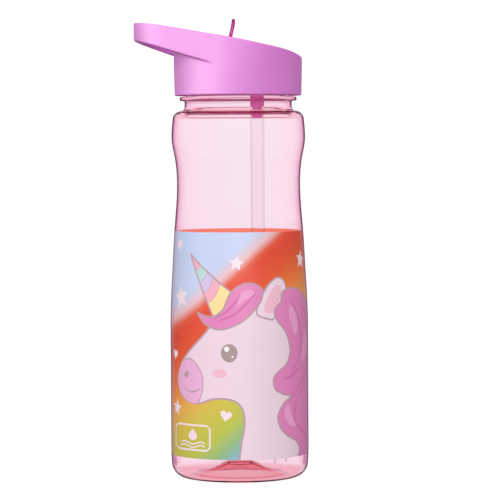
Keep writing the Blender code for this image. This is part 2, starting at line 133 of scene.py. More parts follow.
# ---- mesh helpers ----------------------------------------------------------------------------
def add(name, bm, sharp=35.0):
    bmesh.ops.recalc_face_normals(bm, faces=bm.faces)
    if bm.calc_volume(signed=True) < 0:
        bmesh.ops.reverse_faces(bm, faces=bm.faces)
    bm.transform(PLACE)
    me = bpy.data.meshes.new(name)
    bm.to_mesh(me)
    bm.free()
    ob = bpy.data.objects.new(name, me)
    bpy.context.scene.collection.objects.link(ob)
    me.shade_smooth()
    me.set_sharp_from_angle(angle=math.radians(sharp))
    return ob


def cut(ob, bm, operation="DIFFERENCE"):
    """Boolean of ob with a mesh in mm, or with an object; the tool is removed by bake()."""
    tool = bm if isinstance(bm, bpy.types.Object) else add("tool_" + ob.name, bm)
    tool.hide_render = True
    mod = ob.modifiers.new("cut", "BOOLEAN")
    mod.object, mod.operation, mod.solver = tool, operation, "EXACT"


def bake(ob, sharp=35.0):
    """Applies all modifiers, and removes the tools that they used."""
    bpy.context.view_layer.update()
    dg = bpy.context.evaluated_depsgraph_get()
    me = bpy.data.meshes.new_from_object(ob.evaluated_get(dg), depsgraph=dg)
    tools = [m.object for m in ob.modifiers if m.type == "BOOLEAN"]
    ob.modifiers.clear()
    old, ob.data = ob.data, me
    bpy.data.meshes.remove(old)
    for tool in tools:
        bpy.data.objects.remove(tool)
    bm = bmesh.new()
    bm.from_mesh(me)
    bmesh.ops.remove_doubles(bm, verts=bm.verts, dist=2e-6)
    bm.to_mesh(me)
    bm.free()
    if sharp:
        me.shade_smooth()
        me.set_sharp_from_angle(angle=math.radians(sharp))
    return ob


def turned(points, segs=SEGS, cx=0.0, cy=0.0):
    bm = bmesh.new()
    vs = [bm.verts.new((r, 0, z)) for r, z in points]
    loop = len([p for p in points if p[0] < 1e-9]) < 2
    edges = [bm.edges.new((a, b)) for a, b in zip(vs, vs[1:])]
    if loop:
        edges.append(bm.edges.new((vs[-1], vs[0])))
    bmesh.ops.spin(bm, geom=vs + edges, cent=(0, 0, 0), axis=(0, 0, 1),
                   angle=2 * math.pi, steps=segs, use_duplicate=False)
    bmesh.ops.remove_doubles(bm, verts=bm.verts, dist=3e-3)
    bm.transform(Matrix.Translation((cx, cy, 0)))
    return bm


def prism(outline, lo, hi, axis="Z"):
    bm = bmesh.new()
    if axis == "Z":
        vs, move = [bm.verts.new((x, y, lo)) for x, y in outline], (0, 0, hi - lo)
    else:
        vs, move = [bm.verts.new((x, lo, z)) for x, z in outline], (0, hi - lo, 0)
    face = bm.faces.new(vs)
    top = bmesh.ops.extrude_face_region(bm, geom=[face])["geom"]
    bmesh.ops.translate(bm, verts=[g for g in top if isinstance(g, bmesh.types.BMVert)], vec=move)
    return bm


def rod(p0, p1, r, segs=64):
    p0, p1 = Vector(p0), Vector(p1)
    bm = bmesh.new()
    bmesh.ops.create_cone(bm, cap_ends=True, segments=segs, radius1=r, radius2=r,
                          depth=(p1 - p0).length)
    bm.transform(Matrix.Translation((p0 + p1) / 2)
                 @ (p1 - p0).to_track_quat("Z", "Y").to_matrix().to_4x4())
    return bm


def swept(centres, frames, section):
    bm = bmesh.new()
    rings = []
    for c, (ua, ub), sec in zip(centres, frames, section):
        rings.append([bm.verts.new(Vector(c) + Vector(ua) * a + Vector(ub) * b) for a, b in sec])
    n = len(rings[0])
    for r0, r1 in zip(rings, rings[1:]):
        for i in range(n):
            bm.faces.new((r0[i], r0[(i + 1) % n], r1[(i + 1) % n], r1[i]))
    bm.faces.new(rings[0][::-1])
    bm.faces.new(rings[-1])
    return bm


def thread(root_r, crest_r, half_root, half_crest, z0, pitch, a0, a1, bite, step=5.0):
    n = int(round((a1 - a0) / step))
    out = 1 if crest_r > root_r else -1
    centres, frames, sections = [], [], []
    for i in range(n + 1):
        deg = a0 + (a1 - a0) * i / n
        a = math.radians(deg)
        fade = min(1.0, 0.25 + 0.75 * min(i, n - i) * step / 30)
        radial, up = (math.cos(a), math.sin(a), 0), (0, 0, 1)
        centres.append((root_r * radial[0], root_r * radial[1], z0 + pitch * deg / 360))
        frames.append((radial, up))
        h = (crest_r - root_r) * fade
        low, root = -out * bite, half_root * (0.6 + 0.4 * fade)
        mid = (root + half_crest) / 2
        sections.append([(low, -root), (-out * 0.2, -root), (h * 0.75, -mid), (h, -half_crest),
                         (h, half_crest), (h * 0.75, mid), (-out * 0.2, root), (low, root)])
    return swept(centres, frames, sections)


def remeshed(ob, voxel, smooths, factor=0.5):
    """Closes, rounds and evens the surface, as a mould's small radii do."""
    mod = ob.modifiers.new("remesh", "REMESH")
    mod.mode, mod.voxel_size, mod.use_smooth_shade = "VOXEL", voxel * MM, True
    soft = ob.modifiers.new("soften", "SMOOTH")
    soft.factor, soft.iterations = factor, smooths
    return ob


# ---- colours and materials -------------------------------------------------------------------
def lin(rgb):
    return tuple(c / 255 / 12.92 if c / 255 <= 0.04045 else ((c / 255 + 0.055) / 1.055) ** 2.4
                 for c in rgb)


class Nodes:
    """A short way to write a node tree."""

    def __init__(self, name):
        self.mat = bpy.data.materials.new(name)
        self.mat.use_nodes = True
        self.tree = self.mat.node_tree
        self.tree.nodes.clear()
        self.out = self.new("ShaderNodeOutputMaterial")

    def new(self, kind, **values):
        node = self.tree.nodes.new(kind)
        for key, value in values.items():
            setattr(node, key, value)
        return node

    def link(self, a, b):
        self.tree.links.new(a, b)

    def noise(self, scale, detail=3.0, rough=0.5, stretch=(1, 1, 1)):
        co = self.new("ShaderNodeTexCoord")
        mp = self.new("ShaderNodeMapping")
        mp.inputs["Scale"].default_value = stretch
        nz = self.new("ShaderNodeTexNoise")
        nz.inputs["Scale"].default_value = scale
        nz.inputs["Detail"].default_value = detail
        nz.inputs["Roughness"].default_value = rough
        self.link(co.outputs["Object"], mp.inputs["Vector"])
        self.link(mp.outputs["Vector"], nz.inputs["Vector"])
        return nz.outputs["Fac"]

    def remap(self, value, a, b, c0=0.0, c1=1.0):
        node = self.new("ShaderNodeMapRange")
        node.inputs["From Min"].default_value, node.inputs["From Max"].default_value = c0, c1
        node.inputs["To Min"].default_value, node.inputs["To Max"].default_value = a, b
        self.link(value, node.inputs["Value"])
        return node.outputs["Result"]

    def mix(self, fac, a, b):
        node = self.new("ShaderNodeMix", data_type="RGBA")
        for socket, value in ((node.inputs["Factor"], fac), (node.inputs["A"], a),
                              (node.inputs["B"], b)):
            if hasattr(value, "links"):
                self.link(value, socket)
            elif isinstance(value, (int, float)):
                socket.default_value = value
            else:
                socket.default_value = (*value, 1)
        return node.outputs["Result"]

    def bump(self, height, strength, distance=0.0001):
        node = self.new("ShaderNodeBump")
        node.inputs["Strength"].default_value = strength
        node.inputs["Distance"].default_value = distance
        self.link(height, node.inputs["Height"])
        return node.outputs["Normal"]

    def surface(self, **sockets):
        bsdf = self.new("ShaderNodeBsdfPrincipled")
        for key, value in sockets.items():
            socket = bsdf.inputs[key.replace("_", " ")]
            if hasattr(value, "links"):
                self.link(value, socket)
            elif isinstance(value, tuple):
                socket.default_value = (*value, 1)[:len(socket.default_value)]
            else:
                socket.default_value = value
        self.link(bsdf.outputs["BSDF"], self.out.inputs["Surface"])
        return bsdf


def clear_tint():
    n = Nodes("tinted_clear")
    weight = n.new("ShaderNodeLayerWeight")
    weight.inputs["Blend"].default_value = 0.5
    # walls darken towards their rims: a painted dark rim for the dark surroundings seen through and
    # mirrored in the edge, besides the longer path through the tinted plastic; the flat base does
    # not
    geometry = n.new("ShaderNodeNewGeometry")
    split = n.new("ShaderNodeSeparateXYZ")
    n.link(geometry.outputs["Normal"], split.inputs["Vector"])
    level = n.new("ShaderNodeMath", operation="ABSOLUTE")
    n.link(split.outputs["Z"], level.inputs[0])
    slope = n.new("ShaderNodeMath", operation="MULTIPLY")
    n.link(weight.outputs["Facing"], slope.inputs[0])
    n.link(n.remap(level.outputs[0], 1.0, 0.3, 0.30, 0.60), slope.inputs[1])

    # the thick base and its raised middle hold more colour
    place = n.new("ShaderNodeTexCoord")
    spot = n.new("ShaderNodeSeparateXYZ")
    n.link(place.outputs["Object"], spot.inputs["Vector"])
    flat = n.new("ShaderNodeCombineXYZ")
    off = n.new("ShaderNodeMath", operation="SUBTRACT")
    off.inputs[1].default_value = AXIS_X * MM
    n.link(spot.outputs["X"], off.inputs[0])
    n.link(off.outputs[0], flat.inputs["X"])
    n.link(spot.outputs["Y"], flat.inputs["Y"])
    far = n.new("ShaderNodeVectorMath", operation="LENGTH")
    n.link(flat.outputs["Vector"], far.inputs[0])
    foot = n.new("ShaderNodeMath", operation="MULTIPLY")
    n.link(n.remap(spot.outputs["Z"], 1.0, 0.0, 0.009, 0.013), foot.inputs[0])
    n.link(n.remap(far.outputs["Value"], 1.0, 0.0, 0.0235, 0.0255), foot.inputs[1])
    level_more = n.new("ShaderNodeMath", operation="MAXIMUM")
    n.link(n.remap(level.outputs[0], 0.0, 1.0, 0.45, 0.85), level_more.inputs[0])
    n.link(foot.outputs[0], level_more.inputs[1])
    calm = n.new("ShaderNodeMath", operation="MULTIPLY")
    n.link(slope.outputs[0], calm.inputs[0])
    n.link(n.remap(foot.outputs[0], 1.0, 0.35), calm.inputs[1])
    # the painted dark rim shows on the outside of the wall more than on its inside
    skin = n.new("ShaderNodeAttribute", attribute_name="skin")
    slope = n.new("ShaderNodeMath", operation="MULTIPLY")
    n.link(calm.outputs[0], slope.inputs[0])
    n.link(n.remap(skin.outputs["Fac"], 0.72, 1.0), slope.inputs[1])

    def by_slope(name, stops):
        node = n.new("ShaderNodeValToRGB", label=name)
        el = node.color_ramp.elements
        el[0].position, el[0].color = 0.0, (*stops[0][1], 1)
        el[1].position, el[1].color = 1.0, (*stops[-1][1], 1)
        for at, colour in stops[1:-1]:
            el.new(at).color = (*colour, 1)
        n.link(slope.outputs[0], node.inputs["Fac"])
        return node.outputs["Color"]

    # light through the wall turns dark mauve at the rims, and the mirror tint below darkens there
    # too: painted shade and a painted dark reflection
    through = by_slope("through", [(0.0, (0.945, 0.920, 0.948)), (0.45, (0.972, 0.905, 0.946)),
                                   (0.59, (0.955, 0.78, 0.87)), (0.67, (0.93, 0.60, 0.73)),
                                   (0.74, (0.64, 0.30, 0.44)), (0.79, (0.17, 0.02, 0.09)),
                                   (0.85, (0.06, 0.005, 0.03)), (1.0, (0.06, 0.005, 0.03))])
    painted_rim_gloss = by_slope("painted_rim_gloss", [(0.0, (1.0, 0.98, 1.0)), (0.62, (0.95, 0.85, 0.9)),
                               (0.80, (0.55, 0.28, 0.42)), (0.92, (0.16, 0.05, 0.12)),
                               (1.0, (0.08, 0.02, 0.05))])
    thick = n.new("ShaderNodeMix", data_type="RGBA", blend_type="MULTIPLY")
    n.link(level_more.outputs[0], thick.inputs["Factor"])
    n.link(through, thick.inputs["A"])
    thick.inputs["B"].default_value = (0.985, 0.60, 0.64, 1)
    n.surface(Base_Color=thick.outputs["Result"], Specular_Tint=painted_rim_gloss,
              Roughness=n.remap(n.noise(60), 0.012, 0.04), IOR=1.22, Transmission_Weight=1.0,
              Normal=n.bump(n.noise(30, 1.0, 0.3), 0.06, 0.0004))
    absorb = n.new("ShaderNodeVolumeAbsorption")
    absorb.inputs["Color"].default_value = (0.90, 0.0, 0.40, 1)
    absorb.inputs["Density"].default_value = 50.0
    n.link(absorb.outputs["Volume"], n.out.inputs["Volume"])
    return n.mat


def lilac(name, one, other):
    n = Nodes(name)
    tone = n.mix(n.remap(n.noise(28, 4.0), 0.0, 1.0, 0.35, 0.65), lin(one), lin(other))
    grain = n.noise(2600, 3.0, 0.6)
    n.surface(Base_Color=tone, Roughness=n.remap(n.noise(140, 3.0), 0.55, 0.63),
              Subsurface_Weight=0.12, Subsurface_Radius=(0.0040, 0.0022, 0.0038),
              Subsurface_Scale=1.0, Specular_IOR_Level=0.8,
              Normal=n.bump(grain, 0.10, 0.00006))
    return n.mat


def magenta():
    n = Nodes("magenta_clear")
    n.surface(Base_Color=n.mix(n.noise(180), (0.86, 0.50, 0.80), (0.92, 0.60, 0.88)),
              Roughness=n.remap(n.noise(300), 0.03, 0.08), IOR=1.5, Transmission_Weight=1.0,
              Normal=n.bump(n.noise(160, 2.0), 0.25, 0.0003))
    absorb = n.new("ShaderNodeVolumeAbsorption")
    absorb.inputs["Color"].default_value = (0.84, 0.0, 0.70, 1)
    absorb.inputs["Density"].default_value = 600.0
    n.link(absorb.outputs["Volume"], n.out.inputs["Volume"])
    return n.mat


def silicone():
    n = Nodes("clear_silicone")
    n.surface(Base_Color=n.mix(n.noise(120), lin((238, 226, 234)), lin((246, 238, 243))),
              Roughness=n.remap(n.noise(420), 0.32, 0.46), IOR=1.41, Transmission_Weight=0.35,
              Subsurface_Weight=0.3, Subsurface_Radius=(0.004, 0.003, 0.0035),
              Subsurface_Scale=1.0, Normal=n.bump(n.noise(1800), 0.12, 0.00005))
    return n.mat


def frosted():
    n = Nodes("frosted_straw")
    weight = n.new("ShaderNodeLayerWeight")
    weight.inputs["Blend"].default_value = 0.5
    wall = n.mix(n.noise(90, 3, 0.5, (1, 1, 0.15)), (0.97, 0.945, 0.95), (0.98, 0.96, 0.96))
    # the straw's colour turns dark mauve where its surface turns away: a painted dark rim for the
    # edge lines of the clear tube
    rim = n.remap(weight.outputs["Facing"], 0.0, 1.0, 0.38, 0.92)
    n.surface(Base_Color=n.mix(rim, wall, (0.44, 0.27, 0.34)),
              Roughness=n.remap(n.noise(260, 3, 0.5, (1, 1, 0.1)), 0.02, 0.06), IOR=1.13,
              Transmission_Weight=1.0, Normal=n.bump(n.noise(300, 2, 0.5, (1, 1, 0.08)), 0.02,
                                                     0.00003))
    return n.mat


def under_clear(n, colour):
    """The ink lies under clear film: where the surface turns away its colour takes a pale pink veil,
    partly the tinted film and partly a painted reflection, and at the very edge a painted dark rim
    of shade.
    """
    weight = n.new("ShaderNodeLayerWeight")
    weight.inputs["Blend"].default_value = 0.5
    veil = n.new("ShaderNodeMapRange", interpolation_type="SMOOTHSTEP")
    for key, value in (("From Min", 0.62), ("From Max", 0.80), ("To Min", 0.0), ("To Max", 0.35)):
        veil.inputs[key].default_value = value
    # painted shade: at the very edge the ink goes dark mauve
    dark = n.new("ShaderNodeMapRange", interpolation_type="SMOOTHSTEP")
    for key, value in (("From Min", 0.80), ("From Max", 0.90), ("To Min", 0.0), ("To Max", 0.8)):
        dark.inputs[key].default_value = value
    n.link(weight.outputs["Facing"], veil.inputs["Value"])
    n.link(weight.outputs["Facing"], dark.inputs["Value"])
    veiled = n.mix(veil.outputs["Result"], colour, lin((214, 160, 190)))
    return n.mix(dark.outputs["Result"], veiled, lin((92, 34, 66)))


def ink(name, rgb, spread=0.04, glow=0.0):
    """Printed ink: its colour with a faint uneven density, under the film's satin surface."""
    n = Nodes("ink_" + name)
    base = lin(rgb)
    low = tuple(c * (1 - spread) for c in base)
    n.surface(Base_Color=under_clear(n, n.mix(n.noise(260, 4.0), low, base)),
              Emission_Color=base, Emission_Strength=glow, Roughness=n.remap(n.noise(500), 0.34, 0.46), Specular_IOR_Level=0.4,
              Normal=n.bump(n.noise(900), 0.04, 0.00004))
    return n.mat


def rainbow():
    n = Nodes("ink_rainbow")
    at = n.new("ShaderNodeAttribute", attribute_name="band")
    wobble = n.remap(n.noise(45, 2.0), -0.006, 0.006)
    place = n.new("ShaderNodeMath", operation="ADD")
    n.link(at.outputs["Fac"], place.inputs[0])
    n.link(wobble, place.inputs[1])
    ramp = n.new("ShaderNodeValToRGB")
    stops = [(0.0, (196, 214, 243)), (58, (199, 212, 240)), (69, (234, 196, 200)),
             (77, (229, 92, 62)), (84, (228, 74, 48)), (100, (231, 88, 50)), (118, (238, 124, 56)),
             (140, (239, 172, 80)), (158, (216, 194, 76)), (186, (188, 198, 78)),
             (200, (150, 190, 130)), (212, (140, 186, 196)), (240, (150, 190, 226)),
             (300, (176, 176, 226))]
    el = ramp.color_ramp.elements
    el[0].position, el[0].color = 0.0, (*lin(stops[0][1]), 1)
    el[1].position, el[1].color = 1.0, (*lin(stops[-1][1]), 1)
    for t, rgb in stops[1:-1]:
        el.new(t / 300).color = (*lin(rgb), 1)
    n.link(place.outputs[0], ramp.inputs["Fac"])
    dots = n.remap(n.noise(1500, 2.0), 0.94, 1.04)
    shade = n.new("ShaderNodeMix", data_type="RGBA", blend_type="MULTIPLY")
    shade.inputs["Factor"].default_value = 1.0
    n.link(ramp.outputs["Color"], shade.inputs["A"])
    n.link(dots, shade.inputs["B"])
    n.surface(Base_Color=under_clear(n, shade.outputs["Result"]),
              Roughness=n.remap(n.noise(500), 0.34, 0.46),
              Specular_IOR_Level=0.4, Normal=n.bump(n.noise(900), 0.04, 0.00004))
    return n.mat


TINT, MAGENTA, SILICONE, STRAW = clear_tint(), magenta(), silicone(), frosted()
LILAC = lilac("lilac_moulded", (211, 119, 205), (216, 125, 210))
# the liner is the shell's lilac plastic given a deeper pink: painted shade for how it looks in the
# shadow inside the tinted neck
LINER = lilac("lilac_liner_in_painted_shade", (232, 104, 182), (236, 110, 188))


def finish_piece(ob, mat, body, node):
    if not ob.data.materials:
        ob.data.materials.append(mat)
    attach(ob, body)
    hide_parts(node)
    return ob


# ---- bottle ----------------------------------------------------------------------------------
heel_c = HEEL_R - CORNER_R
levels = span(FILM_Z0, FILM_Z1, 60)
outer = [(0.0, PUNT_TOP), (3.0, PUNT_TOP), (5.6, PUNT_TOP)]
outer += [(6.4, PUNT_TOP - 0.05), (7.4, PUNT_TOP - 0.3), (8.2, PUNT_TOP - 0.6), (12.6, 4.15),
          (17.0, 2.5), (21.2, 0.9), (22.0, 0.5), (22.6, 0.16), (FOOT_IN_R, 0.0), (26.0, 0.0)]
outer += arc(heel_c, CORNER_R, CORNER_R, -90, 0, 20)
outer += [(wall_r(z), z) for z in span(8.8, FILM_Z0 - 0.5, 5) + [FILM_Z0 - 0.2, FILM_Z0 - 0.07]]
outer += [(wall_r(FILM_Z0) - 0.03, FILM_Z0 - 0.04), (wall_r(FILM_Z0) - SEAT, FILM_Z0 - 0.02)]
outer += [(wall_r(z) - SEAT, z) for z in levels[1:-1]]
outer += [(wall_r(FILM_Z1) - SEAT, FILM_Z1 + 0.02), (wall_r(FILM_Z1) - 0.03, FILM_Z1 + 0.04)]
outer += [(wall_r(z), z) for z in [FILM_Z1 + 0.07, FILM_Z1 + 0.2] + span(FILM_Z1 + 0.5, 194.0, 56)]
outer += arc(31.3, 196.3, 4.7, 0, 84, 14)
outer += [(30.6, 201.25), (30.1, 201.7), (29.7, 202.4), (NECK_R, 203.2), (NECK_R, COLLAR_Z0 - 0.7),
          (NECK_R + 0.15, COLLAR_Z0 - 0.25), (NECK_R + 0.6, COLLAR_Z0)]
outer += arc(COLLAR_R - 0.45, COLLAR_Z0 + 0.45, 0.45, -90, 0, 5)
outer += arc(COLLAR_R - 0.45, COLLAR_Z1 - 0.45, 0.45, 0, 90, 5)
outer += [(FINISH_R + 0.3, COLLAR_Z1), (FINISH_R, COLLAR_Z1 + 0.3)]
outer += arc(FINISH_R - 0.5, RIM_Z - 0.5, 0.5, 0, 90, 5)
inner = arc(NECK_IN_R + 0.4, RIM_Z - 0.4, 0.4, 90, 180, 4) + [(NECK_IN_R, 203.4)]
inner += [(27.25, 202.4), (27.45, 201.5), (27.9, 200.8), (28.6, 200.2)]
inner += arc(31.3, 195.9, 3.3, 78, 0, 8)
inner += [(wall_r(z) - WALL, z) for z in span(193.5, 20.0, 84)]
inner += arc(heel_c, CORNER_R + 0.2, CORNER_R - WALL, 0, -90, 16)
inner += [(26.0, 1.75), (24.5, BASE_T), (23.2, BASE_T + 0.2), (21.4, BASE_T + 0.75),
          (17.0, 4.5), (12.6, 6.2), (8.6, PUNT_TOP + BASE_T - 0.55), (7.6, PUNT_TOP + BASE_T - 0.2),
          (6.6, PUNT_TOP + BASE_T), (0.0, PUNT_TOP + BASE_T)]
bottle = add("bottle_visual", turned(outer + inner))
cut(bottle, thread(FINISH_R, THREAD_CREST_R, 1.1, 0.45, THREAD_Z0, THREAD_PITCH, 0,
                   360 * THREAD_TURNS, 0.6), "UNION")
bake(bottle, 30)
skin = bottle.data.attributes.new("skin", "FLOAT", "POINT")
for vert, item in zip(bottle.data.vertices, skin.data):
    r, z = math.hypot(vert.co.x / MM - AXIS_X, vert.co.y / MM), vert.co.z / MM
    inside = (r < wall_r(z) - WALL * 0.6 if 9.0 < z < 194.0 else r < NECK_IN_R + 0.3)
    if 194.0 <= z < 201.0:  # the inner half of the shoulder's rounding
        inside = inside or math.hypot(r - 31.3, z - 196.1) < 4.0 or (r < 31.3 and z < 200.6)
    item.value = 0.0 if inside else 1.0
finish_piece(bottle, TINT, "bottle", "bottle_body")

# ---- printed film: one closed ring whose outside is divided into inks --------------------------
# The picture is laid out in px of a flat front view, with y down from the film's top edge, and
# wrapped round the bottle. It is a plain drawing of a pony's head with a horn, stars and hearts.
R0 = BODY_R
INKS = [
    ("sky", None), ("head", (240, 216, 229)), ("mane", (229, 136, 190)), ("lock", (238, 164, 206)),
    ("strand", (213, 112, 172)), ("line", (188, 158, 168)), ("cream", (250, 228, 236)),
    ("horn_pink", (244, 178, 196)), ("horn_mint", (186, 222, 214)), ("horn_gold", (250, 226, 158)),
    ("horn_lilac", (214, 196, 232)), ("eye", (172, 152, 150)), ("glint", (252, 246, 250)),
    ("nose", (238, 180, 218)),
    ("blush", (242, 190, 208)), ("inside", (250, 150, 116)),
]
INK = {name: i for i, (name, _) in enumerate(INKS)}
faces_in, inks_in, points_in = [], [], []


def wrap(gx, gy):
    """Flat front view -> (distance round the film, height), in mm."""
    z = FILM_Z1 - gy * 0.5375
    s = (gx - 69.2) * 0.55 / wall_r(z)
    phi = (math.asin(s) if abs(s) <= 0.92
           else math.copysign(math.asin(0.92) + (abs(s) - 0.92) * 2.55, s))
    return phi * R0, z


def curve(points, closed=True, step=1.6):
    """Catmull-Rom through the points; a point given twice makes a corner."""
    n = len(points)
    out = []
    for i in range(n if closed else n - 1):
        p0, p1 = points[(i - 1) % n if closed else max(0, i - 1)], points[i]
        p2, p3 = points[(i + 1) % n], points[(i + 2) % n if closed else min(n - 1, i + 2)]
        length = math.dist(p1, p2)
        if length < 1e-6:
            continue
        k = max(1, int(length / step))
        for j in range(k):
            t = j / k
            out.append(tuple(
                0.5 * (2 * b + (c - a) * t + (2 * a - 5 * b + 4 * c - d) * t * t
                       + (3 * b - a - 3 * c + d) * t ** 3)
                for a, b, c, d in zip(p0, p1, p2, p3)))
    if not closed:
        out.append(points[-1])
    return out


def paint(outline, ink_name, flat=True):
    if flat:
        outline = [wrap(x, y) for x, y in outline]
    fine = []
    for a, b in zip(outline, outline[1:] + outline[:1]):
        k = max(1, math.ceil(math.dist(a, b) / 1.6))
        fine += [(a[0] + (b[0] - a[0]) * i / k, a[1] + (b[1] - a[1]) * i / k) for i in range(k)]
    outline = fine
    turns = sum(a[0] * b[1] - b[0] * a[1] for a, b in zip(outline, outline[1:] + outline[:1]))
    if turns < 0:
        outline = outline[::-1]
    start = len(points_in)
    points_in.extend(outline)
    faces_in.append(list(range(start, start + len(outline))))
    inks_in.append(INK[ink_name])


def stroke(line, ink_name, wide=0.9, taper=False, closed=False, flat=True):
    """A ribbon, wide in mm, along a line."""
    pts = [Vector(wrap(x, y) if flat else (x, y)) for x, y in line]
    if closed:
        pts.append(pts[0])
    sides = []
    for i, p in enumerate(pts):
        a = pts[i - 1] if i else (pts[-2] if closed else p)
        b = pts[i + 1] if i < len(pts) - 1 else (pts[1] if closed else p)
        d = (b - a).normalized()
        w = wide / 2 * (math.sin(math.pi * (0.08 + 0.84 * i / (len(pts) - 1))) if taper else 1)
        sides.append((p + Vector((-d.y, d.x)) * w, p - Vector((-d.y, d.x)) * w))
    for (a0, b0), (a1, b1) in zip(sides, sides[1:]):
        paint([tuple(a0), tuple(b0), tuple(b1), tuple(a1)], ink_name, False)


def shape(points, ink_name, line=None, wide=0.9):
    outline = curve(points)
    paint(outline, ink_name)
    if line:
        stroke(outline, line, wide, closed=True)


PER_PX = 0.5375


def star(cx, cy, r, turn=0.0, ink_name="cream"):
    u, z = wrap(cx, cy)
    pts = []
    for i in range(10):
        a = math.radians(turn - 90 + 36 * i)
        q = PER_PX * (r if i % 2 == 0 else r * 0.52)
        pts.append((u + q * math.cos(a), z - q * math.sin(a)))
    paint(curve(pts, step=0.7), ink_name, False)


def heart(cx, cy, r, turn=0.0, ink_name="cream"):
    u, z = wrap(cx, cy)
    pts, a, r = [], math.radians(turn), r * PER_PX
    for i in range(28):
        t = 2 * math.pi * i / 28
        x = math.sin(t) ** 3
        y = -(13 * math.cos(t) - 5 * math.cos(2 * t) - 2 * math.cos(3 * t) - math.cos(4 * t)) / 16
        pts.append((u + r * (x * math.cos(a) - y * math.sin(a)),
                    z - r * (x * math.sin(a) + y * math.cos(a))))
    paint(pts, ink_name, False)


# the film itself comes first; the rest is painted over it
half = math.pi * R0
COLS, ROWS = 160, 80
frame_pts = ([(-half + 2 * half * i / COLS, FILM_Z0) for i in range(COLS)]
             + [(half, FILM_Z0 + (FILM_Z1 - FILM_Z0) * j / ROWS) for j in range(ROWS)]
             + [(half - 2 * half * i / COLS, FILM_Z1) for i in range(COLS)]
             + [(-half, FILM_Z1 - (FILM_Z1 - FILM_Z0) * j / ROWS) for j in range(ROWS)])
paint(frame_pts, "sky", False)

# small ornaments of the front
star(67, 31, 7.6, 8)
star(12, 66, 11.6, -12)
star(130, 29, 9.6, 10)
star(7.5, 178, 8.6, 6)
heart(11, 13, 6.0, -14)
heart(6, 124, 5.6, 10)
heart(56, 183, 6.0, 12)

# head and neck
head = [(47, 84), (38, 98), (28, 110), (19, 121), (12, 133), (8.5, 147), (10.5, 161), (18, 170),
        (30, 171.5), (43, 167), (56, 166.5), (67, 170), (73, 179), (74, 194), (71, 211), (68, 234),
        (68, 234), (133, 234), (133, 234), (131, 180), (128, 120), (122, 84), (108, 66), (84, 62),
        (62, 70)]
shape(head, "head")
stroke(curve(head[:16], closed=False), "line", 1.0)
shape([(14, 130), (20, 127), (27, 132), (33, 144), (33, 158), (29, 171), (18, 170), (10.5, 161),
       (8.8, 147), (11.5, 135)], "nose")
stroke(curve([(14, 130), (20, 127), (27, 132), (33, 144), (33, 158), (29, 171)], closed=False),
       "line", 0.6)
shape([(15.5, 141), (18.2, 139.5), (19.6, 143.5), (17.2, 147), (15, 145)], "line")
stroke(curve([(15, 157), (20, 160.5), (26.5, 159.5), (31, 156)], closed=False), "line", 0.8, True)
# ears
shape([(87, 82), (90, 68), (97, 54), (106, 46), (113, 49), (115.5, 60), (112, 74), (102, 88),
       (102, 88)], "head", "line", 0.9)
shape([(94, 78), (97, 66), (102, 57), (107.5, 52.5), (110.5, 58), (109, 68), (101, 81)], "blush")
# horn, in slanted bands from its tip to its base
tip, left, right = Vector((22, 22)), Vector((44, 84)), Vector((62, 60))
cuts = [0.0, 0.27, 0.45, 0.62, 0.79, 1.0]
for k, name in enumerate(["horn_pink", "horn_mint", "horn_lilac", "horn_pink", "horn_gold"]):
    a, b = cuts[k], cuts[k + 1]
    la, ra, lb, rb = (tip.lerp(left, a), tip.lerp(right, a * 0.93), tip.lerp(left, b),
                      tip.lerp(right, b * 0.93 if b < 1 else 1.0))
    bow = (left - tip).normalized() * 2.2 + (right - tip).normalized() * 2.2
    low = [lb.lerp(rb, t) + bow * (4 * t * (1 - t)) * min(1, b) * 0.8 for t in span(0, 1, 6)]
    high = [la.lerp(ra, t) + bow * (4 * t * (1 - t)) * min(1, a) * 0.8 for t in span(1, 0, 6)]
    if a == 0:
        high = [tip]
    paint([tuple(p) for p in low + high], name)
    stroke([tuple(p) for p in low], "line", 0.6)
stroke([tuple(left), tuple(tip)], "line", 0.9)
stroke([tuple(tip), tuple(right)], "line", 0.9)
# mane behind the ear: one mass with three curls on the face side
mane = [(112, 60), (124, 57), (134, 66), (139, 82), (143, 98), (150, 112), (151, 130), (147, 146),
        (153, 162), (157, 182), (152, 202), (146, 216), (150, 234), (150, 234), (124, 234),
        (124, 234), (128, 222), (125, 212), (116, 205), (109, 196), (107, 184), (113, 172),
        (120, 166), (112, 163), (104, 157), (103, 146), (109, 139), (116, 132), (119, 118),
        (115, 101), (106, 88), (104, 78), (110, 70)]
shape(mane, "mane", "line", 0.9)
for line in ([(118, 66), (127, 84), (130, 106), (128, 126), (120, 142)],
             [(127, 68), (137, 92), (141, 116), (138, 138), (128, 156), (118, 172)],
             [(130, 160), (124, 176), (124, 192), (133, 206), (138, 222)],
             [(142, 150), (145, 170), (142, 190), (140, 206)],
             [(112, 148), (120, 146), (128, 138)]):
    stroke(curve(line, closed=False), "strand", 1.3, True)
shape([(120, 74), (125, 84), (127, 97), (124, 104), (121, 94), (118, 82)], "lock")
shape([(134, 100), (137, 112), (135, 126), (131, 132), (132, 118)], "lock")
shape([(114, 178), (118, 174), (120, 184), (125, 196), (119, 195), (114, 187)], "lock")
# forelock over the brow
shape([(60, 62), (70, 53), (82, 51), (92, 57), (91, 68), (84, 78), (75, 87), (63, 94), (49, 97),
       (36, 92), (28, 80), (28, 80), (38, 84), (48, 83), (54, 76)], "mane", "line", 0.9)
for line in ([(86, 60), (76, 72), (64, 82), (48, 89)], [(74, 58), (66, 69), (57, 79), (44, 87)]):
    stroke(curve(line, closed=False), "strand", 1.2, True)
shape([(72, 60), (80, 57), (84, 61), (76, 67), (68, 72)], "lock")
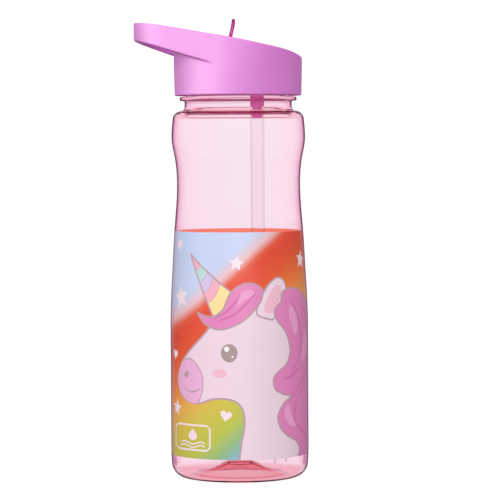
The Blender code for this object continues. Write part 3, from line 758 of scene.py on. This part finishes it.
# eye and cheek
shape([(59.5 + 8.2 * math.cos(t), 120.5 + 9.2 * math.sin(t)) for t in
       [2 * math.pi * i / 12 for i in range(12)]], "eye")
shape([(57 + 2.6 * math.cos(t), 116.5 + 2.8 * math.sin(t)) for t in
       [2 * math.pi * i / 8 for i in range(8)]], "glint")
shape([(62.6 + 1.2 * math.cos(t), 124.0 + 1.2 * math.sin(t)) for t in
       [2 * math.pi * i / 6 for i in range(6)]], "glint")
shape([(50 + 7 * math.cos(t), 141 + 4.6 * math.sin(t)) for t in
       [2 * math.pi * i / 10 for i in range(10)]], "blush")
# a plaque with a drop and two ripples
plaque = [(9, 194), (37, 194), (40, 197), (40, 216), (37, 219), (9, 219), (6, 216), (6, 197)]
stroke(plaque, "cream", 1.0, closed=True)
paint(curve([(23, 197.5), (23, 197.5), (27, 203.5), (26.4, 207.6), (23, 209.2), (19.6, 207.6),
             (19, 203.5)], step=1.0), "cream")
for y in (212.0, 215.4):
    stroke(curve([(11, y), (15, y - 1.4), (19, y), (23, y + 1.2), (27, y), (31, y - 1.4), (35, y)],
                 closed=False), "cream", 0.7)


def back(deg, z):
    """A place on the rest of the film, in degrees round from the front and height in mm."""
    return math.radians(deg) * R0, z


def flat_star(deg, z, r, turn):
    cx, cy = back(deg, z)
    pts = [(cx + (r if i % 2 == 0 else r * 0.52) * math.sin(math.radians(turn + 36 * i)),
            cy + (r if i % 2 == 0 else r * 0.52) * math.cos(math.radians(turn + 36 * i)))
           for i in range(10)]
    paint(curve(pts, step=0.7), "cream", False)


def flat_heart(deg, z, r, turn):
    cx, cy = back(deg, z)
    a, pts = math.radians(turn), []
    for i in range(28):
        t = 2 * math.pi * i / 28
        x = math.sin(t) ** 3
        y = (13 * math.cos(t) - 5 * math.cos(2 * t) - 2 * math.cos(3 * t) - math.cos(4 * t)) / 16
        pts.append((cx + r * (x * math.cos(a) - y * math.sin(a)),
                    cy + r * (x * math.sin(a) + y * math.cos(a))))
    paint(pts, "cream", False)


def cloud(deg, z, w):
    cx, cy = back(deg, z)
    pts = [(-1.0, -0.30), (-1.12, -0.02), (-0.86, 0.20), (-0.62, 0.24), (-0.44, 0.50), (-0.08, 0.58),
           (0.22, 0.40), (0.38, 0.28), (0.66, 0.34), (0.90, 0.12), (1.06, -0.08), (0.96, -0.30)]
    paint([(cx + w * x, cy + w * y) for x, y in curve(pts, step=0.12)], "cream", False)


for deg, z, r, turn in ((124, 118, 4.2, 10), (152, 96, 5.0, -8), (-128, 122, 4.4, 14),
                        (-150, 74, 5.2, -10), (136, 38, 4.6, 6), (-118, 40, 4.0, -14),
                        (171, 124, 3.6, 0), (-104, 96, 3.8, 8)):
    flat_star(deg, z, r, turn)
for deg, z, r, turn in ((138, 72, 3.8, 12), (-140, 102, 3.6, -10), (164, 52, 4.2, -8),
                        (-166, 30, 4.0, 10), (-172, 106, 2.8, 6), (116, 58, 2.6, -12)):
    flat_heart(deg, z, r, turn)
cloud(-126, 62, 8.0)
cloud(160, 24, 8.6)

for j in range(1, ROWS):
    for i in range(1, COLS):
        points_in.append((-half + 2 * half * (i + 0.5 * (j % 2)) / COLS,
                          FILM_Z0 + (FILM_Z1 - FILM_Z0) * j / ROWS))
verts, _, tris, _, _, origin = delaunay_2d_cdt([Vector(p) for p in points_in], [], faces_in, 1,
                                               1e-4, True)
bm = bmesh.new()
band = bm.verts.layers.float.new("band")
OUT_DROP, IN_DROP = 0.02, FILM_T - 0.02


def film_vert(u, z, drop):
    a = u / R0 - math.radians(96)
    r = wall_r(z) - drop
    v = bm.verts.new((r * math.cos(a), r * math.sin(a), z))
    phi, gy = u / R0, (FILM_Z1 - z) / 0.5375
    rear = max(0.0, -math.cos(phi)) ** 1.5
    v[band] = (45.7 * (1 + math.sin(phi)) + 0.75 * gy + 14 * rear) / 300
    return v


rims = {}
outside = [film_vert(p.x, p.y, OUT_DROP) for p in verts]
inside = [film_vert(p.x, p.y, IN_DROP) for p in verts]
edges = {}
for tri, inputs in zip(tris, origin):
    if 0 not in inputs:
        continue
    f = bm.faces.new([outside[i] for i in tri])
    f.material_index = inks_in[max(inputs)]
    g = bm.faces.new([inside[i] for i in reversed(tri)])
    g.material_index = INK["inside"]
    for a, b in zip(tri, tri[1:] + tri[:1]):
        key = (min(a, b), max(a, b))
        edges[key] = None if key in edges else (a, b)
for edge in edges.values():
    if edge is None:
        continue
    a, b = edge
    if abs(abs(verts[a].x) - half) < 1e-3 and abs(abs(verts[b].x) - half) < 1e-3:
        continue
    f = bm.faces.new((outside[b], outside[a], inside[a], inside[b]))
    f.material_index = INK["cream"]
bmesh.ops.delete(bm, geom=[v for v in bm.verts if not v.link_faces], context="VERTS")
bmesh.ops.remove_doubles(bm, verts=bm.verts, dist=1e-3)
film = add("film_visual", bm, 60)
# the inside ink glows: painted light that brightens the back of the print seen through the bottle's
# rear
for name, rgb in INKS:
    film.data.materials.append(rainbow() if rgb is None
                               else ink(name, rgb, glow=0.40 if name == "inside" else 0.0))
finish_piece(film, None, "bottle", "printed_film")

# ---- gasket, valve and seal ------------------------------------------------------------------
gasket = add("gasket_visual", turned(
    arc(27.3, 224.9, 0.6, 180, 270, 5) + arc(30.0, 224.9, 0.6, -90, 0, 5)
    + arc(30.0, 225.5, 0.6, 0, 90, 5) + arc(27.3, 225.5, 0.6, 90, 180, 5)))
finish_piece(gasket, SILICONE, "gasket", "lid_gasket")
valve = add("valve_visual", turned(
    [(0.0, 217.0), (1.2, 217.02), (2.0, 217.1), (3.4, 217.5), (4.7, 218.0), (4.88, 218.2),
     (4.8, 218.42), (4.5, 218.5), (1.8, 218.6), (1.5, 218.8), (1.5, 220.9), (1.7, 221.05),
     (2.25, 221.15), (2.4, 221.35), (2.35, 221.75), (1.9, 222.2), (1.2, 222.55), (0.0, 222.6)], 64))
finish_piece(valve, SILICONE, "valve", "vent_valve")
seal = add("seal_visual", turned(
    [(3.0, 220.9), (4.9, 220.9), (5.2, 221.2), (5.2, 227.9), (4.9, 228.2), (3.0, 228.2),
     (2.7, 227.9), (2.7, 221.2)], 64, STRAW_X))
cut(seal, rod((STRAW_X, -9, PIVOT_Z), (STRAW_X, 9, PIVOT_Z), BARREL_R + 0.3, 96))
bake(seal)
finish_piece(seal, SILICONE, "lid", "spout_seal")

# ---- liner -----------------------------------------------------------------------------------
liner_outline = ([(VENT_R, PLUG_Z0), (PLUG_R1 - 0.6, PLUG_Z0), (PLUG_R1 - 0.15, PLUG_Z0 + 0.2),
                  (PLUG_R1, PLUG_Z0 + 0.7), (PLUG_R1, FLANGE_Z0), (LINER_IN_R, FLANGE_Z0),
                  (LINER_IN_R, 210.3), (LINER_IN_R + 0.25, 209.9), (LINER_IN_R + 0.6, 209.8),
                  (LINER_OUT_R - 0.5, 209.8), (LINER_OUT_R - 0.12, 209.95),
                  (LINER_OUT_R, 210.3), (LINER_OUT_R, FLANGE_Z1 - 0.5),
                  (LINER_OUT_R - 0.5, FLANGE_Z1), (PLUG_R0 + 0.4, FLANGE_Z1),
                  (PLUG_R0, FLANGE_Z1 - 0.4), (PLUG_R0, PLUG_Z1 + 0.6), (PLUG_R0 - 0.6, PLUG_Z1),
                  (VENT_R, PLUG_Z1)])
liner = add("liner_visual", turned(liner_outline, 160))
cut(liner, thread(LINER_IN_R, LID_THREAD_CREST_R, 1.0, 0.4, THREAD_Z0 - THREAD_PITCH / 2,
                  THREAD_PITCH, 60, 495, 0.6), "UNION")
cut(liner, turned([(0.0, NIPPLE_Z0), (NIPPLE_R - 0.6, NIPPLE_Z0), (NIPPLE_R - 0.2, NIPPLE_Z0 + 0.7),
                   (NIPPLE_R, NIPPLE_Z0 + 1.6), (NIPPLE_R, SPIGOT_Z0), (SPIGOT_R - 0.3, SPIGOT_Z0),
                   (SPIGOT_R, SPIGOT_Z0 + 0.3), (SPIGOT_R, PLUG_Z1 - 0.5), (0.0, PLUG_Z1 - 0.5)],
                  64, STRAW_X), "UNION")
cut(liner, turned([(5.6, PLUG_Z1 - 0.6), (6.8, PLUG_Z1 - 0.6), (6.8, 223.2), (6.5, 223.4),
                   (5.8, 223.4), (5.6, 223.2)], 64, STRAW_X), "UNION")
cut(liner, rod((STRAW_X, 0, 187), (STRAW_X, 0, 223), SPIGOT_BORE, 48))
cut(liner, rod((0, 3.3, 217.3), (0, 3.3, 222.3), 0.7, 24))
cut(liner, rod((0, -3.3, 217.3), (0, -3.3, 222.3), 0.7, 24))
bake(liner)
finish_piece(liner, LINER, "lid", "lid_liner")


# ---- lid shell -------------------------------------------------------------------------------
def loop_outline(grow=0.0, n_tip=72):
    big, tip_r = LID_R1 + grow, LOOP_TIP_R + grow
    a = math.asin((big - tip_r) / -LOOP_TIP_X)
    tip_arc = [(LOOP_TIP_X + tip_r * math.cos(t), tip_r * math.sin(t))
               for t in span(math.pi / 2 + a, 3 * math.pi / 2 - a, n_tip)]
    start, end = (-big * math.sin(a), big * math.cos(a)), (-big * math.sin(a), -big * math.cos(a))
    return [(0.0, big * 0.55), start] + tip_arc + [end, (0.0, -big * 0.55)]


def well_outline(grow, top):
    r = BARREL_R + 0.6 + grow
    floor = [(x, top_z(x) - WELL_DEPTH - grow) for x in (WELL_X0 - grow, -15.0, -10.0, -5.0, 0.0)]
    a0 = math.degrees(math.asin((top_z(4.0) - WELL_DEPTH - grow - PIVOT_Z) / r))
    pocket = arc(STRAW_X, PIVOT_Z, r, -180 - a0, 0, 32)
    roof_x = [STRAW_X + r, 8.0, 4.0, 0.0, -5.0, -10.0, -15.0, WELL_X0 - grow]
    roof = ([(x, top_z(x) - 0.9) for x in roof_x] if top is None
            else [(STRAW_X + r, top), (WELL_X0 - grow, top)])
    return floor + pocket + roof


xs = [42.0 - i * 104.0 / 104 for i in range(105)]
above_top = [(42.0, 262.0)] + [(x, top_z(x)) for x in xs] + [(-62.0, 262.0)]
below_top = [(x, top_z(x) - SHELL_TOP_T) for x in xs] + [(-62.0, 200.0), (42.0, 200.0)]
shell = add("shell_visual", turned([(0.0, LID_Z0), (LID_R0, LID_Z0), (LID_R1, LID_FLARE_Z),
                                    (LID_R1, 258.0), (0.0, 258.0)], 160))
cut(shell, prism(loop_outline(-0.02), 214.0, 257.0), "UNION")
under = add("under_cut", prism([(-62.0, under_z(-62.0)), (0.0, under_z(0.0)),
                                (0.0, 205.0), (-62.0, 205.0)], -42, 42, "Y"))
cut(under, turned([(0.0, 204.0), (LID_R0 - 0.01, 204.0), (LID_R0 - 0.01, LID_Z0),
                   (LID_R1 - 0.005, LID_FLARE_Z), (LID_R1 - 0.005, 259.0), (0.0, 259.0)], 160))
bake(under, None)
cut(shell, under)
cut(shell, prism(above_top, -45, 45, "Y"))
hollow = add("hollow_cut", turned([(0.0, 204.0), (SHELL_IN_R, 204.0), (SHELL_IN_R, 256.0),
                                   (0.0, 256.0)], 160))
cut(hollow, prism(below_top, -44, 44, "Y"), "INTERSECT")
cut(hollow, prism(well_outline(WELL_T, None), -WELL_HALF - WELL_T, WELL_HALF + WELL_T, "Y"))
bake(hollow, None)
cut(shell, hollow)
cut(shell, prism(well_outline(0.0, 262.0), -WELL_HALF, WELL_HALF, "Y"))
cut(shell, rod((STRAW_X, 0, 221), (STRAW_X, 0, 229), 5.6))
cut(shell, rod((STRAW_X, -7.45, PIVOT_Z), (STRAW_X, 7.45, PIVOT_Z), TRUNNION_R + 0.3, 40))
hole = add("finger_hole", prism(
    [(LOOP_TIP_X + (LOOP_TIP_R - LOOP_RIM) * math.cos(t), (LOOP_TIP_R - LOOP_RIM) * math.sin(t))
     for t in [2 * math.pi * i / 128 for i in range(128)]], 205, 262))
cut(hole, turned([(0.0, 200.0), (LID_R1 + 0.6, 200.0), (LID_R1 + 0.6, 264.0), (0.0, 264.0)], 160))
bake(hole, None)
cut(shell, hole)
bake(shell, None)
remeshed(shell, 0.42, 8)
bake(shell, 60)
finish_piece(shell, LILAC, "lid", "lid_shell")

# ---- spout -----------------------------------------------------------------------------------
PIVOT = Vector((STRAW_X, 0.0, PIVOT_Z))
along = Vector((-math.cos(SPOUT_TILT), 0, math.sin(SPOUT_TILT)))
rise = Vector((math.sin(SPOUT_TILT), 0, math.cos(SPOUT_TILT)))


def oval(a, b, n=56, power=2.6):
    return [(a * math.copysign(abs(math.cos(t)) ** (2 / power), math.cos(t)),
             b * math.copysign(abs(math.sin(t)) ** (2 / power), math.sin(t)))
            for t in [2 * math.pi * i / n for i in range(n)]]


STATION_A = [(0.0, 4.5), (8.0, 4.5), (18.0, 4.3), (23.0, 4.5), (25.6, 4.6), (SPOUT_LEN, 4.0)]
STATION_B = [(0.0, 3.5), (8.0, 3.5), (18.0, 3.4), (23.0, 3.6), (25.6, 3.7), (SPOUT_LEN, 3.1)]
stations = span(0.0, 25.6, 32) + [26.3, SPOUT_LEN]
tube = swept([PIVOT + along * s for s in stations], [((0, 1, 0), rise)] * len(stations),
             [oval(smooth(STATION_A, s), smooth(STATION_B, s)) for s in stations])
LEVER = [(-5.3, 234.5), (-5.0, 238.0), (-4.3, 241.5), (-3.5, 245.0), (-2.7, 248.5), (-2.4, 251.4)]
LEVER_X = sorted((z, x) for x, z in LEVER)
LEVER_HALF = [(234.5, 4.2), (238.0, 4.2), (241.5, 4.1), (245.0, 3.9), (248.5, 3.3), (250.6, 2.5),
              (251.4, 2.0)]
LEVER_THICK = [(234.5, 1.1), (238.0, 1.1), (241.5, 1.0), (245.0, 0.95), (248.5, 1.0), (250.6, 0.95),
               (251.4, 0.7)]
lever_c, lever_frames, lever_sections = [], [], []
for z in span(234.5, 251.3, 28):
    dx = (smooth(LEVER_X, z + 0.3) - smooth(LEVER_X, z - 0.3)) / 0.6
    t = Vector((dx, 0, 1)).normalized()
    lever_c.append((smooth(LEVER_X, z), 0, z))
    lever_frames.append((Vector((0, 1, 0)), Vector((t.z, 0, -t.x))))
    w, h = smooth(LEVER_HALF, z), smooth(LEVER_THICK, z)
    lever_sections.append([(-w, 0), (-w + 0.15, -h * 0.6), (-w + 0.5, -h), (w - 0.5, -h),
                           (w - 0.15, -h * 0.6), (w, 0), (w - 0.15, h * 0.6), (w - 0.5, h),
                           (-w + 0.5, h), (-w + 0.15, h * 0.6)])
spout = add("spout_visual", rod((STRAW_X, -BARREL_HALF, PIVOT_Z), (STRAW_X, BARREL_HALF, PIVOT_Z),
                                BARREL_R, 96))
cut(spout, tube, "UNION")
cut(spout, rod((STRAW_X, -TRUNNION_HALF, PIVOT_Z), (STRAW_X, TRUNNION_HALF, PIVOT_Z), TRUNNION_R,
               40), "UNION")
cut(spout, swept(lever_c, lever_frames, lever_sections), "UNION")
cut(spout, rod(PIVOT - along * 8, PIVOT + along * 32, SPOUT_BORE, 48))
bake(spout, None)
remeshed(spout, 0.2, 4)
bake(spout, 70)
finish_piece(spout, MAGENTA, "spout", "flip_spout")


# ---- straw -----------------------------------------------------------------------------------
def straw_x(z):
    t = max(0.0, (STRAW_BEND_Z - z) / (STRAW_BEND_Z - STRAW_END))
    return STRAW_X + STRAW_BEND * t * t


bm = bmesh.new()
rings = []
zs = [STRAW_TOP, STRAW_TOP - 0.25, STRAW_TOP - 0.6] + span(STRAW_TOP - 2, STRAW_END + 1, 96)
zs += [STRAW_END + 0.25, STRAW_END]
round_off = {0: 0.22, 1: 0.06, len(zs) - 2: 0.06, len(zs) - 1: 0.22}
for radius, sign in ((STRAW_OUT_R, -1), (STRAW_IN_R, 1)):
    group = []
    for i, z in enumerate(zs):
        slope = straw_x(z + 0.5) - straw_x(z - 0.5)
        d = Vector((slope, 0, 1)).normalized()
        side = Vector((0, 1, 0)).cross(d)
        r = radius + sign * round_off.get(i, 0.0)
        group.append([bm.verts.new(Vector((straw_x(z), 0, z)) + side * r * math.cos(t)
                                   + Vector((0, 1, 0)) * r * math.sin(t))
                      for t in [2 * math.pi * k / 64 for k in range(64)]])
    rings.append(group)
for group in rings:
    for a, b in zip(group, group[1:]):
        for k in range(64):
            bm.faces.new((a[k], a[(k + 1) % 64], b[(k + 1) % 64], b[k]))
for end in (0, -1):
    a, b = rings[0][end], rings[1][end]
    for k in range(64):
        bm.faces.new((a[k], a[(k + 1) % 64], b[(k + 1) % 64], b[k]))
straw = add("straw_visual", bm)
finish_piece(straw, STRAW, "lid", "straw")

# ---- floor, world, lights, camera ------------------------------------------------------------
bm = bmesh.new()
bmesh.ops.create_grid(bm, x_segments=8, y_segments=8, size=30.0)
me = bpy.data.meshes.new("floor")
bm.to_mesh(me)
bm.free()
floor = bpy.data.objects.new("floor", me)
floor.location.z = -0.0003
bpy.context.scene.collection.objects.link(floor)
n = Nodes("floor_white")
ray = n.new("ShaderNodeLightPath")
lit = n.new("ShaderNodeMath", operation="MAXIMUM")
n.link(ray.outputs["Is Camera Ray"], lit.inputs[0])
n.link(ray.outputs["Is Transmission Ray"], lit.inputs[1])
deep = n.new("ShaderNodeMath", operation="GREATER_THAN")
deep.inputs[1].default_value = 0.5
n.link(ray.outputs["Transmission Depth"], deep.inputs[0])
within = n.new("ShaderNodeMath", operation="MULTIPLY")
n.link(deep.outputs[0], within.inputs[0])
n.link(ray.outputs["Is Glossy Ray"], within.inputs[1])
shown = n.new("ShaderNodeMath", operation="MAXIMUM")
n.link(lit.outputs[0], shown.inputs[0])
n.link(within.outputs[0], shown.inputs[1])
dim = n.remap(ray.outputs["Is Diffuse Ray"], 0.0, 0.25)
glow = n.new("ShaderNodeMath", operation="MAXIMUM")
n.link(n.remap(shown.outputs[0], 0.0, 0.92), glow.inputs[0])
n.link(dim, glow.inputs[1])
n.surface(Base_Color=n.mix(n.noise(3), (0.24, 0.24, 0.24), (0.26, 0.26, 0.26)), Roughness=0.9,
          Emission_Color=(1, 1, 1), Emission_Strength=glow.outputs[0], Specular_IOR_Level=0.0)
me.materials.append(n.mat)

world = bpy.data.worlds.new("studio")
bpy.context.scene.world = world
world.use_nodes = True
wt = world.node_tree
wt.nodes.clear()


def wnode(kind, **values):
    node = wt.nodes.new(kind)
    for key, value in values.items():
        setattr(node, key, value)
    return node


def card(direction, inner, outer_, strength):
    """A soft-edged bright card of the room, seen in one direction."""
    dot = wnode("ShaderNodeVectorMath", operation="DOT_PRODUCT")
    dot.inputs[1].default_value = Vector(direction).normalized()
    wt.links.new(room_dir.outputs["Generated"], dot.inputs[0])
    ease = wnode("ShaderNodeMapRange", interpolation_type="SMOOTHSTEP")
    ease.inputs["From Min"].default_value = outer_
    ease.inputs["From Max"].default_value = inner
    ease.inputs["To Min"].default_value = 0.0
    ease.inputs["To Max"].default_value = strength
    wt.links.new(dot.outputs["Value"], ease.inputs["Value"])
    return ease.outputs["Result"]


room_dir = wnode("ShaderNodeTexCoord")
total = None
for part in (card((-0.90, -0.40, 0.25), 0.95, 0.30, 0.45),
             card((0.75, -0.66, 0.2), 0.98, 0.60, 0.10), card((0, 0, 1), 0.9, 0.3, 0.25)):
    if total is None:
        total = part
    else:
        plus = wnode("ShaderNodeMath", operation="ADD")
        wt.links.new(total, plus.inputs[0])
        wt.links.new(part, plus.inputs[1])
        total = plus.outputs[0]
path = wnode("ShaderNodeLightPath")
# inside the clear plastic a mirror ray sees the white room, and on its outside the dim one
deep = wnode("ShaderNodeMath", operation="GREATER_THAN")
deep.inputs[1].default_value = 0.5
wt.links.new(path.outputs["Transmission Depth"], deep.inputs[0])
within = wnode("ShaderNodeMath", operation="MULTIPLY")
wt.links.new(deep.outputs[0], within.inputs[0])
wt.links.new(path.outputs["Is Glossy Ray"], within.inputs[1])
base = wnode("ShaderNodeMapRange")
base.inputs["To Min"].default_value, base.inputs["To Max"].default_value = 0.05, 0.50
wt.links.new(path.outputs["Is Diffuse Ray"], base.inputs["Value"])
# overhead the room is bright, and mirrored in whatever faces up
split = wnode("ShaderNodeSeparateXYZ")
wt.links.new(room_dir.outputs["Generated"], split.inputs["Vector"])
lofty = wnode("ShaderNodeMapRange", interpolation_type="SMOOTHSTEP")
lofty.inputs["From Min"].default_value, lofty.inputs["From Max"].default_value = 0.0, 0.22
lofty.inputs["To Min"].default_value, lofty.inputs["To Max"].default_value = 0.0, 0.65
wt.links.new(split.outputs["Z"], lofty.inputs["Value"])
mirror = wnode("ShaderNodeMath", operation="MULTIPLY")
wt.links.new(lofty.outputs["Result"], mirror.inputs[0])
wt.links.new(path.outputs["Is Glossy Ray"], mirror.inputs[1])
higher = wnode("ShaderNodeMath", operation="ADD")
wt.links.new(base.outputs["Result"], higher.inputs[0])
wt.links.new(mirror.outputs[0], higher.inputs[1])
plus = wnode("ShaderNodeMath", operation="ADD")
wt.links.new(higher.outputs[0], plus.inputs[1])
wt.links.new(total, plus.inputs[0])
wout = wnode("ShaderNodeOutputWorld")
bg_white, bg_room = wnode("ShaderNodeBackground"), wnode("ShaderNodeBackground")
mixer = wnode("ShaderNodeMixShader")
seen = wnode("ShaderNodeMath", operation="MAXIMUM")
wt.links.new(path.outputs["Is Camera Ray"], seen.inputs[0])
wt.links.new(path.outputs["Is Transmission Ray"], seen.inputs[1])
either = wnode("ShaderNodeMath", operation="MAXIMUM")
wt.links.new(seen.outputs[0], either.inputs[0])
wt.links.new(within.outputs[0], either.inputs[1])
wt.links.new(either.outputs[0], mixer.inputs["Fac"])
bg_white.inputs["Color"].default_value = (1, 1, 1, 1)
bg_white.inputs["Strength"].default_value = 1.09
hue = wnode("ShaderNodeMix", data_type="RGBA")
hue.inputs["A"].default_value = (1.0, 0.60, 0.80, 1)
hue.inputs["B"].default_value = (1.0, 0.985, 0.995, 1)
wt.links.new(path.outputs["Is Diffuse Ray"], hue.inputs["Factor"])
wt.links.new(hue.outputs["Result"], bg_room.inputs["Color"])
wt.links.new(plus.outputs[0], bg_room.inputs["Strength"])
wt.links.new(bg_room.outputs[0], mixer.inputs[1])
wt.links.new(bg_white.outputs[0], mixer.inputs[2])
wt.links.new(mixer.outputs[0], wout.inputs["Surface"])


def area(name, az, el, dist, size, size_y, power, target=(AXIS_X * MM, 0, 0.14), spread=180):
    """A soft box; az is measured from the front (-Y) towards +X, in degrees."""
    a, e = math.radians(az), math.radians(el)
    d = Vector((math.sin(a) * math.cos(e), -math.cos(a) * math.cos(e), math.sin(e)))
    data = bpy.data.lights.new(name, "AREA")
    data.shape, data.size, data.size_y, data.energy = "RECTANGLE", size, size_y, power
    data.spread = math.radians(spread)
    ob = bpy.data.objects.new(name, data)
    bpy.context.scene.collection.objects.link(ob)
    ob.location = Vector(target) + d * dist
    ob.rotation_mode = "QUATERNION"
    ob.rotation_quaternion = d.to_track_quat("Z", "Y")
    return ob


key = area("key", -70, 18, 1.2, 0.6, 0.9, 1.7)
front = area("front", 0, 18, 1.4, 1.0, 1.0, 10.2)
sheen = area("sheen", -66, 8, 1.0, 1.0, 1.0, 32.0)
above = area("above", 0, 82, 1.2, 1.2, 0.8, 10.0, (AXIS_X * MM, 0, 0.24))
for lamp in (sheen, above):
    lamp.visible_diffuse = False
rear = area("rear", 165, 25, 1.5, 1.2, 1.2, 5.5)
# the clear bottle and straw keep clear of the lamps' mirror images, which would draw bright rings on
# them
matte = bpy.data.collections.new("satin_pieces")
for piece in (shell, liner, film, spout, gasket, valve, seal):
    matte.objects.link(piece)
for lamp in (key, front, rear):
    lamp.light_linking.receiver_collection = matte
satin = bpy.data.collections.new("sheen_pieces")
satin.objects.link(shell)
for lamp in (sheen, above):
    lamp.light_linking.receiver_collection = satin
bottle.visible_shadow = False
straw.visible_shadow = False

cam = bpy.data.cameras.new("camera")
camera = bpy.data.objects.new("camera", cam)
bpy.context.scene.collection.objects.link(camera)
cam.lens, cam.sensor_width = 187.3, 36.0
cam.clip_start, cam.clip_end = 0.05, 200.0
az = math.radians(-6.0)
out_dir = Vector((math.sin(az), -math.cos(az), 0))
right_dir = Vector((math.cos(az), math.sin(az), 0))
aim = Vector((AXIS_X, 0, 124.6)) * MM + right_dir * 6.1 * MM
place = Vector((aim.x, aim.y, 0)) + out_dir * 1429.3 * MM + Vector((0, 0, 182.4)) * MM
turn = (place - aim).to_track_quat("Z", "Y")
camera.matrix_world = (Matrix.Translation(place) @ turn.to_matrix().to_4x4()
                       @ Matrix.Rotation(math.radians(-0.30), 4, "Z"))
bpy.context.scene.camera = camera
bpy.context.scene.view_settings.view_transform = "Standard"
bpy.context.scene.cycles.max_bounces = 24
bpy.context.scene.cycles.transmission_bounces = 20
bpy.context.scene.cycles.transparent_max_bounces = 16
